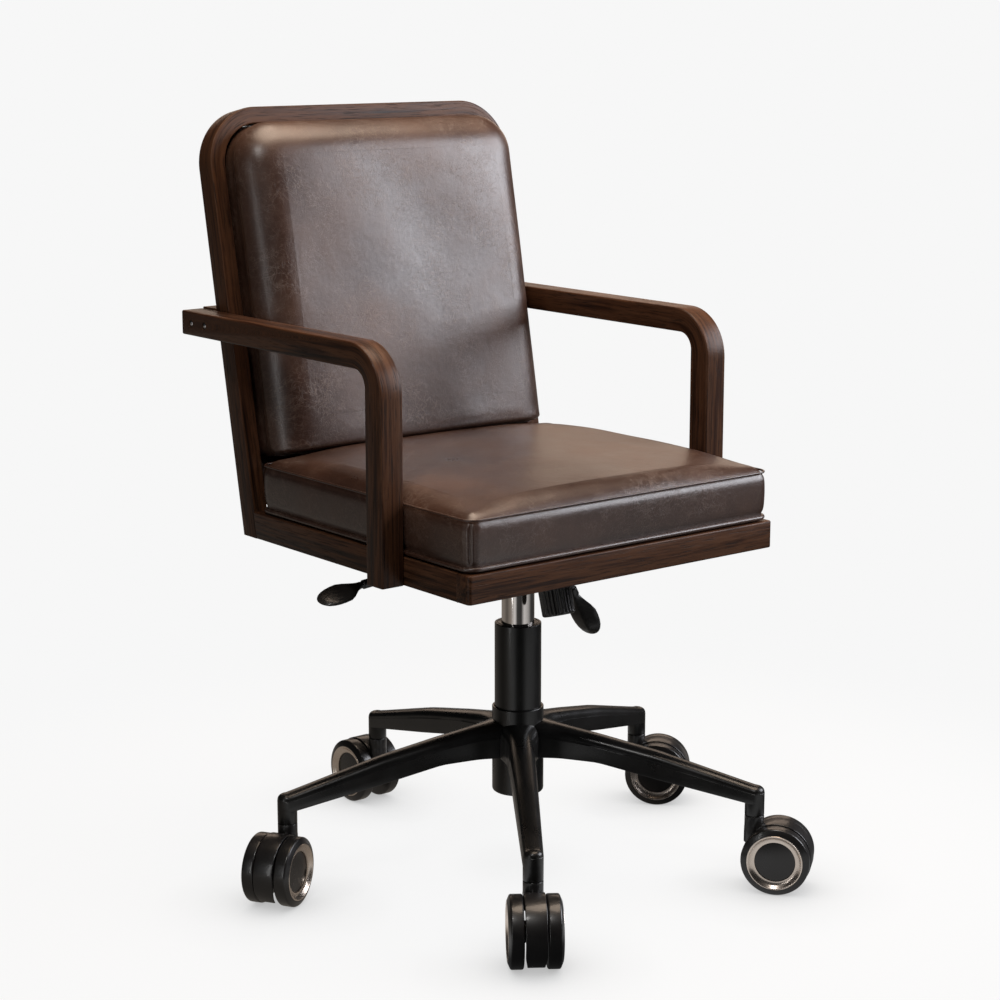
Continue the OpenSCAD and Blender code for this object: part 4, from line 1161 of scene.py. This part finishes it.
def glow(f, kind, colour, strength):
    """An even glow of one colour."""
    return f.node(kind, {"Color": (*colour, 1), "Strength": strength}).outputs[0]


def make_world():
    """The backdrop: pale to the camera, and almost dark to every other ray."""
    world = bpy.data.worlds.new("studio")
    scene.world = world
    f = Wiring(world)
    f.tree.nodes.clear()
    ray_split(f, glow(f, "Background", (1, 1, 1), PALE), glow(f, "Background", (0.95, 0.97, 1.0), FILL),
              "OutputWorld")


def make_floor():
    """A wide level sheet. The camera sees a pale glowing surface, with a painted contact shadow close
    to the chair (ambient occlusion dimming the glow), that fades with distance into the backdrop's tone.
    Glossy rays see PAINTED_REFLECTION_BANDS glowing on it: painted reflections for the metal and black
    parts. Other rays see it dark."""
    size, cells = 6000, 12
    line = np.linspace(-size, size, cells + 1)
    x, y = np.meshgrid(line, line)
    points = np.column_stack([x.ravel(), y.ravel(), np.full(x.size, -0.3)])
    mesh = bpy.data.meshes.new("floor")
    mesh.from_pydata((points * MM).tolist(), [], quads(cells + 1, cells + 1, False))
    floor = bpy.data.objects.new("floor", mesh)
    scene.collection.objects.link(floor)
    material = bpy.data.materials.new("floor")
    f = Wiring(material)
    f.tree.nodes.clear()
    place = f.node("TexCoord", {}).outputs["Object"]
    distance = f.node("VectorMath", {0: place}, operation="LENGTH").outputs["Value"]
    # painted contact shadow: ambient occlusion near the chair dims the floor's glow and stands in for the shadow
    # under it
    painted_shadow_occlusion = f.node("AmbientOcclusion", {"Distance": PAINTED_SHADOW_REACH}).outputs["AO"]
    shade = f.node("MapRange", {0: painted_shadow_occlusion, 1: 0.0, 2: 0.98, 3: 0.42, 4: 0.90}).outputs[0]
    matt = f.node("BsdfDiffuse", {"Color": (0.06, 0.06, 0.06, 1)}).outputs[0]
    pale = f.node("Emission", {"Strength": shade}).outputs[0]
    lit = f.node("AddShader", {0: matt, 1: pale}).outputs[0]
    seen = f.node("MixShader", {0: f.ranged(distance, FADE_FROM, FADE_TO, 0.0, 1.0), 1: lit,
                                2: glow(f, "Emission", (1, 1, 1), PALE)}).outputs[0]
    # painted reflections: a ring of glowing tones round the chair, set by compass angle
    around = f.node("TexGradient", {0: place}, gradient_type="RADIAL").outputs["Fac"]
    bands = f.tinted(around, *[((degrees % 360) / 360, (tone, tone * (1 - 0.10 * warm), tone * (1 - 0.20 * warm)))
                               for degrees, tone, warm in PAINTED_REFLECTION_BANDS])
    mirror = f.node("LightPath", {}).outputs["Is Glossy Ray"]
    # the floor glows with these bands for glossy rays only, although it is no lamp
    unseen = f.node("Emission", {"Color": bands, "Strength": mirror}).outputs[0]
    ray_split(f, seen, unseen, "OutputMaterial")
    mesh.materials.append(material)


def softbox(name, toward, distance, size, power, colour=(1, 1, 1), aim=(0, 0, 0.55)):
    """A rectangular area light in a direction from the aim point, facing back at it."""
    light = bpy.data.lights.new(name, "AREA")
    light.shape, (light.size, light.size_y) = "RECTANGLE", size
    light.energy, light.color = power, colour
    lamp = bpy.data.objects.new(name, light)
    toward = Vector(toward).normalized()
    lamp.location = Vector(aim) + toward * distance
    lamp.rotation_euler = toward.to_track_quat("Z", "Y").to_euler()
    scene.collection.objects.link(lamp)
    lamp.visible_camera = False
    return lamp


def make_camera():
    """A long lens, level from side to side, looking down a little at the front left."""
    back = Vector((-0.60903, -0.76619, 0.20500)).normalized()
    right = Vector((0.78282, -0.62225, 0)).normalized()
    up = back.cross(right)
    view = Matrix((right, up, back)).transposed().to_4x4()
    view.translation = Vector((-1.6908, -2.0927, 1.0138))
    camera = bpy.data.objects.new("camera", bpy.data.cameras.new("camera"))
    camera.matrix_world = view
    camera.data.lens = 84.10
    camera.data.sensor_width = 36
    scene.collection.objects.link(camera)
    scene.camera = camera


make_world()
make_floor()
softbox("front_right", (0.83, -0.55, 0.36), 2.8, (1.9, 1.5), 72, (0.93, 0.94, 1.0), (0, 0.1, 0.65))
softbox("overhead", (0.15, 0.05, 1.0), 2.4, (1.7, 1.7), 56, (1.0, 0.80, 0.63))
softbox("front_left", (-0.5, -0.4, 0.74), 2.6, (0.45, 0.45), 15, (1.0, 0.98, 0.96))
softbox("rear_right", (0.58, 0.79, 0.26), 2.8, (2.8, 0.8), 9, (1.0, 0.78, 0.62))
softbox("left_strip", (-0.98, -0.2, 0.05), 2.4, (0.12, 1.4), 4)
make_camera()
scene.view_settings.view_transform = "Standard"
scene.view_settings.look = "None"
